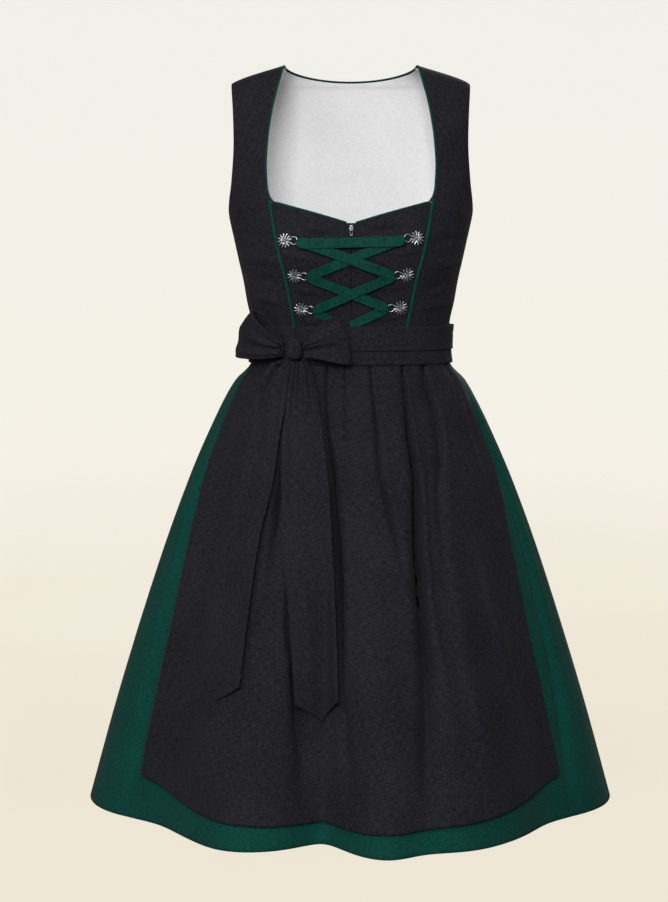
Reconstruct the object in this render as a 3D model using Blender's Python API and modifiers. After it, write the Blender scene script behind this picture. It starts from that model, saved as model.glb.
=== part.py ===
"""A dirndl dress, filled out as if worn, with its apron, tie and lacing.

Metres, +Z up. The front faces -Y and the wearer's left is +X. The origin is midway between
the two shoulder seams, where the wearer's shoulders hold the dress up.

Every cloth piece is a patch of one form, a stack of rounded sections from the shoulders to
the hem. A patch is a grid of turns (degrees round the form, 0 at the centre front, 180 at
the centre back) and heights, moved out from the form to the layer that it lies in.
"""

import math

import bmesh
import bpy
import numpy as np
from mathutils import Matrix, Vector

# Cloth
CLOTH = 0.0015  # thickness of a wall of cloth
LINING = 0.0010
RIBBON = 0.0009
SEAM = 0.0003  # gap between pieces that are sewn together
PIPING_D = 0.0032
SEAM_PIPING_DROP = 0.0040  # from the corner down to the top of the piping in the princess seam

# Heights
NECK_POINT_Z = 0.0095  # inner end of the shoulder seam
SHOULDER_TIP_Z = -0.0145
BACK_NECK_Z = -0.0070
UNDERARM_Z = -0.1966
CORNER_Z = -0.1745  # where strap, neckline and princess seam meet
FRONT_NECK_Z = -0.2030  # top of the front at the zip
BAND_TOP_Z = -0.3375
WAIST_Z = -0.3650
BAND_LOW_Z = -0.3900
APRON_HEM_Z = -0.9620
APRON_CORNER_RISE = 0.0300
HEM_Z = -0.9900

APRON_TOP_Z = -0.3690
TIE_LOW_Z = -0.3710
BAND_LEDGE = 0.0030  # the waistband's top edge is this far below the tie's

# Layers, as the distance of a piece's inner face from the form
APRON_OUT = 0.0022
APRON_AIR = 0.0030  # more than that at the hem, where it hangs free of the skirt
BAND_OUT = 0.0044
TIE_OUT = 0.0064
TAIL_OUT = 0.0095
HOOK_OUT = 0.0026
LACE_OUT = 0.0052
LACE_STEP = 0.0014  # one crossing strip over the other

# The form. squareness is the power of the rounded section, 2 for an ellipse.
FORM = (  # height, half_width, front, back, squareness
    (0.0095, 0.0900, 0.045, 0.068, 2.5),
    (-0.0090, 0.1490, 0.052, 0.074, 2.5),
    (-0.0145, 0.1605, 0.056, 0.077, 2.5),
    (-0.0400, 0.1790, 0.070, 0.084, 2.5),
    (-0.0800, 0.1780, 0.085, 0.091, 2.5),
    (-0.1200, 0.1745, 0.097, 0.095, 2.5),
    (-0.1600, 0.1700, 0.108, 0.096, 2.5),
    (-0.1966, 0.1627, 0.116, 0.095, 2.5),
    (-0.2237, 0.1567, 0.120, 0.093, 2.5),
    (-0.2509, 0.1507, 0.118, 0.090, 2.5),
    (-0.2781, 0.1446, 0.111, 0.087, 2.5),
    (-0.3054, 0.1400, 0.103, 0.084, 2.5),
    (-0.3375, 0.1335, 0.094, 0.081, 2.4),
    (-0.3650, 0.1320, 0.092, 0.080, 2.3),
    (-0.3900, 0.1345, 0.093, 0.081, 2.3),
    (-0.4148, 0.1555, 0.106, 0.097, 2.2),
    (-0.4423, 0.1715, 0.124, 0.118, 2.1),
    (-0.4974, 0.1979, 0.150, 0.150, 2.0),
    (-0.5527, 0.2216, 0.174, 0.178, 2.0),
    (-0.6360, 0.2526, 0.207, 0.212, 2.0),
    (-0.7478, 0.2894, 0.245, 0.250, 2.0),
    (-0.8602, 0.3238, 0.278, 0.283, 2.0),
    (-0.9900, 0.3600, 0.314, 0.318, 2.0),
)
CUP_X, CUP_Z, CUP_WIDE, CUP_TALL, CUP_OUT = 0.072, -0.232, 0.042, 0.048, 0.009

# Folds of the skirt, which open towards the hem. A negative depth is a valley.
FOLDS = (  # turn, half_width (both degrees), depth at the hem, height where it starts
    (-27.0, 10.0, 0.022, -0.46),
    (-8.0, 7.5, -0.042, -0.50),
    (7.0, 7.5, 0.034, -0.50),
    (25.0, 12.0, 0.018, -0.44),
    (58.0, 15.0, -0.034, -0.44),
    (-56.0, 15.0, -0.034, -0.44),
    (119.0, 11.0, 0.020, -0.42),
    (139.0, 9.0, -0.024, -0.45),
    (158.0, 9.0, 0.024, -0.43),
    (176.0, 8.0, -0.022, -0.47),
    (-166.0, 8.0, 0.026, -0.43),
    (-146.0, 9.0, -0.022, -0.46),
    (-123.0, 12.0, 0.020, -0.42),
)
# Pleats of the apron, which fade away below the waistband.
PLEATS = (  # turn at the waist, turn at its end, half_width (degrees), out, height of its end
    (-62.0, -50.0, 6.0, 0.0040, -0.55),
    (-40.0, -30.0, 6.0, 0.0045, -0.60),
    (-19.0, -15.0, 5.0, 0.0035, -0.55),
    (12.0, 14.0, 5.0, 0.0040, -0.60),
    (36.0, 19.0, 6.0, 0.0060, -0.75),
    (55.0, 38.0, 6.0, 0.0050, -0.60),
)
APRON_EDGE = (  # height, turn of the apron's side edge
    (-0.3650, 84.0),
    (-0.4200, 79.0),
    (-0.4530, 74.5),
    (-0.5050, 71.0),
    (-0.6350, 64.5),
    (-0.7620, 62.5),
    (-0.9620, 63.0),
)

# Edges of the bodice, as seen from the front: distance from the middle at a height.
PRINCESS_SEAM = (  # height, x
    (WAIST_Z, 0.0725),
    (BAND_TOP_Z, 0.0748),
    (-0.3080, 0.0798),
    (-0.2740, 0.0858),
    (-0.2440, 0.0935),
    (-0.2050, 0.1015),
    (CORNER_Z, 0.1065),
)
STRAP_EDGE = (  # height, x
    (CORNER_Z, 0.1065),
    (-0.1560, 0.1118),
    (-0.1250, 0.1136),
    (-0.0940, 0.1119),
    (-0.0530, 0.1063),
    (NECK_POINT_Z, 0.0910),
)
ARMHOLE_EDGE = (  # height, x
    (UNDERARM_Z, 0.1627),
    (-0.1860, 0.1638),
    (-0.1450, 0.1590),
    (-0.0950, 0.1560),
    (-0.0500, 0.1575),
    (SHOULDER_TIP_Z, 0.1605),
)
SIDE_ROWS = 7  # rows from the waist to the underarm, as many as the princess seam has
NECK_COLUMNS, STRAP_COLUMNS = 5, 3  # of half of the back
BACK_PULL = 3.0  # how late the back's columns turn towards the shoulder and the neck
STRAP_STEPS = (1.0, 0.72, 0.42, 0.18, 0.0)  # rows over the shoulder, squared for height
ZIP_HALF_GAP = 0.0010
ZIP_TAPE_HALF, ZIP_TAPE_OUT = 0.0110, -0.0026
ZIP_NOTCH = 0.0075  # half width of the opening above the slider
ZIP_NOTCH_Z = -0.2080

# Hooks of the lacing, each a cast flower with a loop towards the middle
HOOKS = {  # name: (x, height)
    "hook_right_top": (-0.0860, -0.2250),
    "hook_right_middle": (-0.0736, -0.2705),
    "hook_right_bottom": (-0.0654, -0.3150),
    "hook_left_top": (0.0848, -0.2220),
    "hook_left_middle": (0.0726, -0.2688),
    "hook_left_bottom": (0.0646, -0.3125),
}
FLOWER_R, FLOWER_CORE_R, FLOWER_T, PETALS = 0.0100, 0.0060, 0.0022, 9
LOOP_REACH, LOOP_HALF, LOOP_WIRE_D = 0.0180, 0.0050, 0.0016
LACE_W = 0.0125
LACE_TOP_DROP = 0.0040  # the top bar hangs low in its loops
LACE_ENDS = ((-0.0300, -0.3260), (0.0030, -0.3320))  # where the ends go under the tie

# The bow
KNOT_X, KNOT_Z = -0.0690, -0.3680
KNOT_W, KNOT_H, KNOT_D = 0.0210, 0.0290, 0.0170
KNOT_HALF_TURN = 7.5  # degrees of the form that the knot takes at each side
LOOP_DEEP = 0.0110  # half of a loop's depth
LOOP_MOUTH = 0.45  # depth at the knot, as a share
RIGHT_LOOP_TURNS = (-61.0, -77.5)  # its far end, at the top and at the bottom edge
LEFT_LOOP_TURNS = (-10.0, -0.5)
RIGHT_LOOP = (  # share of the way out, top edge, bottom edge
    (0.0, -0.3570, -0.3790),
    (0.35, -0.3370, -0.3850),
    (0.7, -0.3190, -0.3865),
    (1.0, -0.3110, -0.3840),
)
LEFT_LOOP = (
    (0.0, -0.3570, -0.3790),
    (0.35, -0.3350, -0.3830),
    (0.7, -0.3240, -0.3880),
    (1.0, -0.3200, -0.3900),
)

# The hanging ends, seen from the front
RIGHT_TAIL = (  # height, x of the edge on the wearer's right, x of the other edge
    (-0.3860, -0.0890, -0.0725),
    (-0.4034, -0.1064, -0.0765),
    (-0.4309, -0.1220, -0.0808),
    (-0.4833, -0.1355, -0.0880),
    (-0.5402, -0.1465, -0.0953),
    (-0.6151, -0.1645, -0.1117),
    (-0.6858, -0.1787, -0.1220),
    (-0.8164, -0.1960, -0.1385),
)
RIGHT_TAIL_END = (-0.7811, -0.8164, -0.7952)  # height of the corner, the point and the corner
LEFT_TAIL = (
    (-0.3860, -0.0710, -0.0560),
    (-0.4171, -0.0768, -0.0461),
    (-0.4511, -0.0815, -0.0395),
    (-0.4981, -0.0875, -0.0331),
    (-0.5444, -0.0880, -0.0288),
    (-0.6126, -0.0872, -0.0227),
    (-0.6983, -0.0810, -0.0128),
    (-0.8381, -0.0740, -0.0045),
)
LEFT_TAIL_END = (-0.8141, -0.8381, -0.8102)
TAIL_ROWS = 11

# The zip's slider and pull tab
SLIDER_Z, SLIDER_W, SLIDER_H, SLIDER_T = -0.2085, 0.0060, 0.0080, 0.0028
PULL_W, PULL_H, PULL_T = 0.0042, 0.0078, 0.0012

BLACK = (0.020, 0.019, 0.025, 1.0)
GREEN = (0.008, 0.056, 0.044, 1.0)
PALE = (0.74, 0.74, 0.75, 1.0)
SILVER = (0.55, 0.56, 0.57, 1.0)
STEEL = (0.10, 0.10, 0.11, 1.0)


# --- numbers along a table -------------------------------------------------------------


def follow(rows, at, column=1):
    """Value of a column at a height, by a curve through the rows that never overshoots."""
    table = np.array(sorted(rows), float)
    x, y = table[:, 0], table[:, column]
    step = np.diff(x)
    slope = np.diff(y) / step
    tangent = np.zeros_like(y)
    turning = slope[:-1] * slope[1:] <= 0
    harmonic = 2 * slope[:-1] * slope[1:] / np.where(turning, 1, slope[:-1] + slope[1:])
    tangent[1:-1] = np.where(turning, 0, harmonic)
    tangent[0], tangent[-1] = slope[0], slope[-1]
    at = np.clip(np.asarray(at, float), x[0], x[-1])
    i = np.clip(np.searchsorted(x, at) - 1, 0, len(step) - 1)
    t = (at - x[i]) / step[i]
    start = y[i] * (1 + 2 * t) * (1 - t) ** 2 + tangent[i] * step[i] * t * (1 - t) ** 2
    return start + y[i + 1] * t * t * (3 - 2 * t) + tangent[i + 1] * step[i] * t * t * (t - 1)


def bell(x):
    return np.exp(-x * x)


# --- the form --------------------------------------------------------------------------


def fold_depth(turn, z):
    """How far the skirt's folds stand out at a turn (degrees) and height."""
    depth = np.zeros(np.broadcast(turn, z).shape)
    for at, half_width, hem_depth, top in FOLDS:
        round_it = (turn - at + 180) % 360 - 180
        down = np.clip((top - z) / (top - HEM_Z), 0, 1)
        depth = depth + hem_depth * down**1.3 * bell(round_it / half_width)
    return depth


def surface(turn, z):
    """Point on the form itself."""
    turn, z = np.broadcast_arrays(np.asarray(turn, float), np.asarray(z, float))
    angle = np.radians(turn)
    wide, front, back, power = (follow(FORM, z, c) for c in (1, 2, 3, 4))
    deep = np.where(np.cos(angle) > 0, front, back)
    square = np.abs(np.sin(angle) / wide) ** power + np.abs(np.cos(angle) / deep) ** power
    radius = square ** (-1 / power) + fold_depth(turn, z)
    x = radius * np.sin(angle)
    cup = bell((np.abs(x) - CUP_X) / CUP_WIDE) * bell((z - CUP_Z) / CUP_TALL)
    radius = radius + CUP_OUT * cup * (np.cos(angle) > 0) * np.cos(angle)
    return np.stack([radius * np.sin(angle), -radius * np.cos(angle), z], axis=-1)


def normal(turn, z):
    """Outward direction of the form."""
    small_turn, small_z = 0.05, 0.0004
    round_it = surface(turn + small_turn, z) - surface(turn - small_turn, z)
    up = surface(turn, z + small_z) - surface(turn, z - small_z)
    out = np.cross(round_it, up)
    return out / np.linalg.norm(out, axis=-1, keepdims=True)


def layer(turn, z, out):
    """Point at a distance out from the form."""
    return surface(turn, z) + normal(turn, z) * np.asarray(out, float)[..., None]


def turn_at(x, z, on_back=False):
    """Turn on the front (or the back) of the form that shows at x from the front."""
    x, z = np.broadcast_arrays(np.asarray(x, float), np.asarray(z, float))
    low = np.full(x.shape, 90.0 if on_back else -90.0)
    high = low + 180
    for _ in range(30):
        middle = (low + high) / 2
        before = surface(middle, z)[..., 0] > x if on_back else surface(middle, z)[..., 0] < x
        low, high = np.where(before, middle, low), np.where(before, high, middle)
    return (low + high) / 2


# --- making objects --------------------------------------------------------------------


def clear_scene():
    for obj in list(bpy.data.objects):
        bpy.data.objects.remove(obj, do_unlink=True)


def material(name, colour, roughness, metallic=0.0):
    made = bpy.data.materials.new(name)
    made.use_nodes = True
    shader = made.node_tree.nodes["Principled BSDF"]
    shader.inputs["Base Color"].default_value = colour
    shader.inputs["Roughness"].default_value = roughness
    shader.inputs["Metallic"].default_value = metallic
    made.diffuse_color = colour
    return made


def add_object(name, data, finish):
    obj = bpy.data.objects.new(name, data)
    data.materials.append(finish)
    DRESS.objects.link(obj)
    return obj


def wall(name, points, thick, finish):
    """A wall of cloth on a grid of points. Rows run up and columns run to the wearer's left."""
    rows, columns = points.shape[:2]
    index = np.arange(rows * columns).reshape(rows, columns)
    corners = (index[:-1, :-1], index[:-1, 1:], index[1:, 1:], index[1:, :-1])
    faces = np.stack(corners, axis=-1).reshape(-1, 4)
    mesh = bpy.data.meshes.new(name)
    mesh.from_pydata(points.reshape(-1, 3).tolist(), [], faces.tolist())
    mesh.shade_smooth()
    obj = add_object(name, mesh, finish)
    solid = obj.modifiers.new("thickness", "SOLIDIFY")
    solid.thickness = thick
    solid.offset = 1.0
    return obj


def patch(name, turn, z, out, finish, thick=CLOTH):
    """A wall of cloth on the form, its inner face at a distance out from it."""
    turn, z, out = np.broadcast_arrays(turn, z, out)
    return wall(name, layer(turn, z, out), thick, finish)


def tube(name, points, diameter, finish, sides=2):
    """A round cord through these points."""
    curve = bpy.data.curves.new(name, "CURVE")
    curve.dimensions = "3D"
    curve.bevel_depth = diameter / 2
    curve.bevel_resolution = sides
    curve.use_fill_caps = True
    spline = curve.splines.new("POLY")
    spline.points.add(len(points) - 1)
    for point, place in zip(spline.points, points):
        point.co = (*place, 1.0)
    return add_object(name, curve, finish)


def mesh_of(obj):
    """A curve made a mesh with its caps welded, in the curve's place."""
    graph = bpy.context.evaluated_depsgraph_get()
    made = bpy.data.meshes.new_from_object(obj.evaluated_get(graph))
    cage = bmesh.new()
    cage.from_mesh(made)
    bmesh.ops.remove_doubles(cage, verts=cage.verts, dist=1e-6)
    cage.to_mesh(made)
    cage.free()
    name, place = obj.name, obj.matrix_world.copy()
    bpy.data.objects.remove(obj, do_unlink=True)
    new = bpy.data.objects.new(name, made)
    DRESS.objects.link(new)
    new.matrix_world = place
    return new


def box(name, size, centre, finish, bevel=0.0004):
    """A small block with rounded edges."""
    cage = bmesh.new()
    bmesh.ops.create_cube(cage, size=1.0, matrix=Matrix.Diagonal((*size, 1.0)))
    mesh = bpy.data.meshes.new(name)
    cage.to_mesh(mesh)
    cage.free()
    obj = add_object(name, mesh, finish)
    obj.location = centre
    rounding = obj.modifiers.new("rounding", "BEVEL")
    rounding.width = bevel
    rounding.segments = 1
    return obj


# --- bodice ----------------------------------------------------------------------------


def heights_of(rows):
    return np.array([row[0] for row in rows])


def over_shoulder(low, top):
    """Heights of the rows from the strap's last straight row to the shoulder seam."""
    return top - (top - low) * np.array(STRAP_STEPS) ** 2


def side_rows():
    """(heights, x) of the inner and of the outer edge of a side front, row by row."""
    seam_z = heights_of(PRINCESS_SEAM)
    strap_z, arm_z = heights_of(STRAP_EDGE[1:-2]), heights_of(ARMHOLE_EDGE[1:-2])
    inner_z = [*seam_z, *strap_z, *over_shoulder(STRAP_EDGE[-2][0], NECK_POINT_Z)]
    side_z = [WAIST_Z, *np.linspace(BAND_TOP_Z, UNDERARM_Z, SIDE_ROWS - 1)]
    outer_z = [*side_z, *arm_z, *over_shoulder(ARMHOLE_EDGE[-2][0], SHOULDER_TIP_Z)]
    inner_x = follow(PRINCESS_SEAM + STRAP_EDGE[1:], inner_z)
    outer_x = follow(ARMHOLE_EDGE, outer_z)
    return np.array(inner_z), inner_x, np.array(outer_z), outer_x


def outer_turns(z, x, on_back=False):
    """Turns of the edge at the side: the side seam, then the armhole, then the shoulder."""
    turn = turn_at(x, z, on_back)
    turn[:SIDE_ROWS] = 90.0
    turn[-1] = 90.0
    return turn


def inset(turn, z, way):
    """Turns moved along the form by half a seam."""
    radius = np.linalg.norm(surface(turn, z)[..., :2], axis=-1)
    return turn + way * np.degrees(0.65 * SEAM / radius)


def across(start, end, share):
    """Rows between two edges: start and end hold one value a row, share one a column."""
    return start[:, None] + (end - start)[:, None] * share[None, :]


def front_grid():
    """(turns, heights) of the left centre front, from the zip to the princess seam."""
    seam_z = heights_of(PRINCESS_SEAM)
    seam_x = np.array([row[1] for row in PRINCESS_SEAM]) - PIPING_D / 2 - SEAM
    middle_z = np.append(np.linspace(WAIST_Z, ZIP_NOTCH_Z, len(seam_z) - 1), FRONT_NECK_Z)
    middle_x = np.full(len(seam_z), ZIP_HALF_GAP)
    middle_x[-1] = ZIP_NOTCH
    share = np.linspace(0, 1, 5)
    z = across(middle_z, seam_z, share)
    return across(turn_at(middle_x, middle_z), turn_at(seam_x, seam_z), share), z


def front_panels(finish):
    """Centre fronts, from the zip to the princess seams."""
    turn, z = front_grid()
    patch("bodice_front_left", turn, z, 0.0, finish)
    patch("bodice_front_right", -turn[:, ::-1], z[:, ::-1], 0.0, finish)


def side_fronts(finish):
    """Side fronts with their straps, from the princess seams to the side seams."""
    inner_z, inner_x, outer_z, outer_x = side_rows()
    beside_piping = np.arange(len(inner_x)) < len(PRINCESS_SEAM)
    inner = turn_at(inner_x + np.where(beside_piping, PIPING_D / 2 + SEAM, 0), inner_z)
    outer = outer_turns(outer_z, outer_x)
    outer[[*range(SIDE_ROWS), -1]] = inset(90.0, outer_z[[*range(SIDE_ROWS), -1]], -1)
    inner[-1] = outer[-1]
    share = np.linspace(0, 1, 5)
    z, turn = across(inner_z, outer_z, share), across(inner, outer, share)
    patch("bodice_side_front_left", turn, z, 0.0, finish)
    patch("bodice_side_front_right", -turn[:, ::-1], z[:, ::-1], 0.0, finish)


def back_grid():
    """(turns, heights) of half of the back, from the wearer's left side to the centre back."""
    _, _, arm_z, arm_x = side_rows()
    share = np.linspace(0, 1, NECK_COLUMNS + STRAP_COLUMNS + 1)
    neck_share = STRAP_COLUMNS / (NECK_COLUMNS + STRAP_COLUMNS)
    on_strap = share <= neck_share + 1e-9
    along_strap = np.clip(share / neck_share, 0, 1)
    along_neck = np.clip((share - neck_share) / (1 - neck_share), 0, 1)
    top_z = np.where(
        on_strap,
        SHOULDER_TIP_Z + (NECK_POINT_Z - SHOULDER_TIP_Z) * along_strap,
        NECK_POINT_Z + (BACK_NECK_Z - NECK_POINT_Z) * np.sin(along_neck * np.pi / 2) ** 1.5,
    )
    neck_x = surface(90.0, NECK_POINT_Z)[0] * np.cos(along_neck * np.pi / 2)
    top_x = np.where(on_strap, surface(90.0, top_z)[:, 0], neck_x)
    up = np.clip((arm_z - UNDERARM_Z) / (SHOULDER_TIP_Z - UNDERARM_Z), 0, 1)[:, None]
    z = arm_z[:, None] + (top_z - SHOULDER_TIP_Z)[None, :] * up
    side = outer_turns(arm_z, arm_x, on_back=True)
    plain_x = surface(across(side, np.full(len(side), 180.0), share), z)[..., 0]
    x = plain_x + (top_x - plain_x) * up**BACK_PULL
    turn = turn_at(x, z, on_back=True)
    turn[-1, on_strap] = 90.0
    turn[:SIDE_ROWS, 0] = 90.0
    return np.maximum(turn, inset(np.full(turn.shape, 90.0), z, 1)), z


def mirrored(turn, z):
    """Both halves of a grid that runs from the left side to the centre back."""
    turn = np.concatenate([turn, 360 - turn[:, -2::-1]], axis=1)
    return turn, np.concatenate([z, z[:, -2::-1]], axis=1)


def back_panel(finish, lining):
    """The back in one piece, and its lining, made from the same points moved in."""
    turn, z = back_grid()
    patch("bodice_back", *mirrored(turn, z), 0.0, finish)
    inner = -(LINING + 5 * SEAM)
    patch("bodice_back_lining", *mirrored(turn[1:], z[1:]), inner, lining, LINING)


# --- skirt and apron -------------------------------------------------------------------

SKIRT_ROWS = (  # heights
    WAIST_Z - 2 * SEAM,
    BAND_LOW_Z,
    -0.420,
    -0.470,
    -0.550,
    -0.650,
    -0.760,
    -0.870,
    HEM_Z,
)
APRON_COLUMNS, SIDE_COLUMNS, BACK_COLUMNS = 24, 4, 26


def front_turns(z):
    """Turns of the skirt's front columns: the apron's, and at each side those beyond it."""
    edge = follow(APRON_EDGE, z)
    under = across(-edge, edge, np.linspace(0, 1, APRON_COLUMNS + 1))
    side = across(edge, np.full(len(z), 90.0), np.linspace(0, 1, SIDE_COLUMNS + 1)[1:])
    return np.concatenate([-side[:, ::-1], under, side], axis=1), under


def skirt(finish):
    z = np.array(SKIRT_ROWS)[::-1]
    turn, _ = front_turns(z)
    turn[:, 0], turn[:, -1] = inset(-90.0, z, 1), inset(90.0, z, -1)
    patch("skirt_front", turn, z[:, None], 0.0, finish)
    left = inset(90.0, z, 1)
    back = across(left, 360 - left, np.linspace(0, 1, BACK_COLUMNS + 1))
    patch("skirt_back", back, z[:, None], 0.0, finish)


def pleat_height(turn, z):
    """How far the apron's pleats stand out."""
    height = np.zeros(np.broadcast(turn, z).shape)
    for at_waist, at_end, half_width, out, end_z in PLEATS:
        down = np.clip((BAND_LOW_Z - z) / (BAND_LOW_Z - end_z), 0, 1)
        at = at_waist + (at_end - at_waist) * down
        fade = np.where(z > BAND_LOW_Z, 0, 1) * np.minimum(1, 8 * down) * (1 - down**2)
        height = height + out * fade * bell((turn - at) / half_width)
    return height


def apron(finish):
    rows = [z for z in SKIRT_ROWS if BAND_LOW_Z >= z > APRON_HEM_Z]
    z = np.array([APRON_TOP_Z, *rows, APRON_HEM_Z])[::-1]
    _, turn = front_turns(z)
    heights = np.repeat(z[:, None], turn.shape[1], axis=1)
    side = np.abs(np.linspace(-1, 1, turn.shape[1]))
    heights[0] = APRON_HEM_Z + APRON_CORNER_RISE * side**2.5
    hanging = np.clip((BAND_LOW_Z - heights) / (BAND_LOW_Z - APRON_HEM_Z), 0, 1)
    out = APRON_OUT + APRON_AIR * hanging + pleat_height(turn, heights)
    patch("apron", turn, heights, out, finish)


def band_turns(start, end, rows):
    """Columns of a waist band, at the same turns as the skirt's own."""
    front = front_turns(np.array([BAND_LOW_Z]))[0][0]
    back = np.linspace(90, 270, BACK_COLUMNS + 1)[1:]
    turns = np.concatenate([front, back, front[1:] + 360])
    inside = turns[(turns > start + 1) & (turns < end - 1)]
    return np.tile(np.concatenate([[start], inside, [end]]), (rows, 1))


def bands(finish):
    """The apron's waistband, and the tie that is wound once round over it."""
    z = np.array([BAND_LOW_Z, TIE_LOW_Z, BAND_TOP_Z - BAND_LEDGE])[:, None]
    half = APRON_EDGE[0][1]
    patch("apron_waistband", band_turns(-half, half, 3), z, BAND_OUT, finish)
    knot_turn = float(turn_at(KNOT_X, KNOT_Z))
    z = np.array([TIE_LOW_Z, BAND_TOP_Z])[:, None]
    turns = band_turns(knot_turn + 1.0, knot_turn + 359.0, 2)
    patch("tie_round_waist", turns, z, TIE_OUT, finish)


# --- bow -------------------------------------------------------------------------------


def bow_loop(name, rows, far_turns, finish):
    """A loop of the bow: a strip that leaves the knot, turns back at its end and returns."""
    knot_turn = float(turn_at(KNOT_X, KNOT_Z))
    side = np.sign(far_turns[1] - knot_turn)
    near = knot_turn + side * KNOT_HALF_TURN
    round_it = np.linspace(0.0, 1.0, 13)
    away = np.sin(np.pi * round_it) ** 0.8
    front = np.cos(np.pi * round_it) * (LOOP_MOUTH + (1 - LOOP_MOUTH) * away**0.5)
    share = np.linspace(0, 1, 5)
    top, bottom = follow(rows, away, 1), follow(rows, away, 2)
    z = across(bottom, top, share)
    far = far_turns[1] + (far_turns[0] - far_turns[1]) * share
    turn = near + (far[None, :] - near) * away[:, None]
    out = TIE_OUT + CLOTH + SEAM + LOOP_DEEP * (1 + front) + CLOTH
    points = layer(turn, z, np.repeat(out[:, None], 5, axis=1)).transpose(1, 0, 2)
    obj = wall(name, points if side < 0 else points[:, ::-1], CLOTH, finish)
    obj.modifiers["thickness"].offset = 0.0


def knot(finish):
    """The knot, a soft block that stands on the tie."""
    turn = turn_at(KNOT_X, KNOT_Z)
    out = normal(turn, KNOT_Z) * (1, 1, 0)
    out = out / np.linalg.norm(out)
    centre = layer(turn, KNOT_Z, TIE_OUT + 2 * CLOTH + SEAM) + out * KNOT_D / 2
    cage = bmesh.new()
    bmesh.ops.create_cube(cage, size=1.0, matrix=Matrix.Diagonal((KNOT_W, KNOT_D, KNOT_H, 1)))
    mesh = bpy.data.meshes.new("bow_knot")
    cage.to_mesh(mesh)
    cage.free()
    mesh.shade_smooth()
    obj = add_object("bow_knot", mesh, finish)
    obj.location = centre
    obj.rotation_euler = (0, 0, math.atan2(out[0], -out[1]))
    rounding = obj.modifiers.new("rounding", "BEVEL")
    rounding.width = KNOT_D * 0.3
    rounding.segments = 2


def tail(name, edges, ends, finish):
    """A hanging end of the tie, cut to a point: ends holds the heights of its lower edge."""
    down = np.linspace(1, 0, TAIL_ROWS + 1)
    share = np.linspace(0, 1, 5)
    low = np.interp(share, [0, 0.5, 1], ends)
    z = edges[0][0] + (low[None, :] - edges[0][0]) * down[:, None]
    first, last = follow(edges, z, 1), follow(edges, z, 2)
    patch(name, turn_at(first + (last - first) * share, z), z, TAIL_OUT, finish)


# --- piping, zip, hooks and lacing -----------------------------------------------------


def beside(turn, z, gap):
    """Middle of a cord that lies along an edge, on the left of the way that it runs."""
    edge = layer(turn, z, CLOTH / 2)
    out = normal(turn, z)
    side = np.cross(out[:-1] + out[1:], np.diff(edge, axis=0))
    side = side / np.linalg.norm(side, axis=1, keepdims=True)
    before, after = side[[0, *range(len(side))]], side[[*range(len(side)), -1]]
    mitre = (before + after) / (1 + np.sum(before * after, axis=1, keepdims=True))
    return edge + mitre * (PIPING_D / 2 + gap)


def pipings(finish):
    """Cords set in the princess seams and round the neck."""
    seam_z = np.append(heights_of(PRINCESS_SEAM)[:-1], CORNER_Z - SEAM_PIPING_DROP)
    seam = layer(turn_at(follow(PRINCESS_SEAM, seam_z), seam_z), seam_z, CLOTH)
    inner_z, inner_x, _, _ = side_rows()
    front_turn, front_z = front_grid()
    strap = slice(len(PRINCESS_SEAM) - 1, -1)
    strap_turn = turn_at(inner_x[strap], inner_z[strap])
    edge_turn = np.append(front_turn[-1, :-1], strap_turn)
    neck = beside(edge_turn, np.append(front_z[-1, :-1], inner_z[strap]), 2 * SEAM)
    mirror = np.array([-1, 1, 1])
    for side, flip in (("left", 1), ("right", mirror)):
        tube(f"piping_seam_{side}", seam * flip, PIPING_D, finish)
        tube(f"piping_neck_{side}", neck * flip, PIPING_D, finish)
    turn, z = back_grid()
    half = beside(turn[-1, STRAP_COLUMNS:], z[-1, STRAP_COLUMNS:], 4 * SEAM)
    half[-1, 0] = 0.0
    whole = np.concatenate([half, half[-2::-1] * mirror])
    tube("piping_neck_back", whole, PIPING_D, finish)


def zip_parts(tape, steel):
    """Zip tape behind the centre front, its slider, and the pull tab that swings on it."""
    z = np.linspace(WAIST_Z + 0.002, ZIP_NOTCH_Z - 0.002, 7)[:, None]
    turn = turn_at(np.linspace(-ZIP_TAPE_HALF, ZIP_TAPE_HALF, 5) + 0 * z, z)
    patch("zip_tape", turn, z, ZIP_TAPE_OUT, tape, LINING)
    face_y = layer(0.0, SLIDER_Z, CLOTH)[1] - 2 * SEAM
    middle = Vector((0, face_y - SLIDER_T / 2, SLIDER_Z))
    box("zip_slider", (SLIDER_W, SLIDER_T, SLIDER_H), middle, steel)
    hinge = Vector((0, face_y - SLIDER_T - PULL_T, SLIDER_Z - SLIDER_H / 2 + PULL_T))
    pull = box("zip_pull_tab", (PULL_W, PULL_T, PULL_H), hinge, steel)
    pull.data.transform(Matrix.Translation((0, 0, (PULL_T - PULL_H) / 2)))


def flower_mesh(name, finish):
    """A flat flower whose petals come from a radius that swings in and out."""
    outline = bpy.data.curves.new(name, "CURVE")
    outline.dimensions = "2D"
    outline.fill_mode = "BOTH"
    outline.extrude = FLOWER_T / 2
    spline = outline.splines.new("POLY")
    count = 2 * PETALS
    spline.points.add(count - 1)
    for i, point in enumerate(spline.points):
        radius = FLOWER_R if i % 2 == 0 else FLOWER_CORE_R
        angle = math.tau * i / count
        point.co = (radius * math.cos(angle), radius * math.sin(angle), 0, 1)
    spline.use_cyclic_u = True
    return mesh_of(add_object(name, outline, finish))


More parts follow.
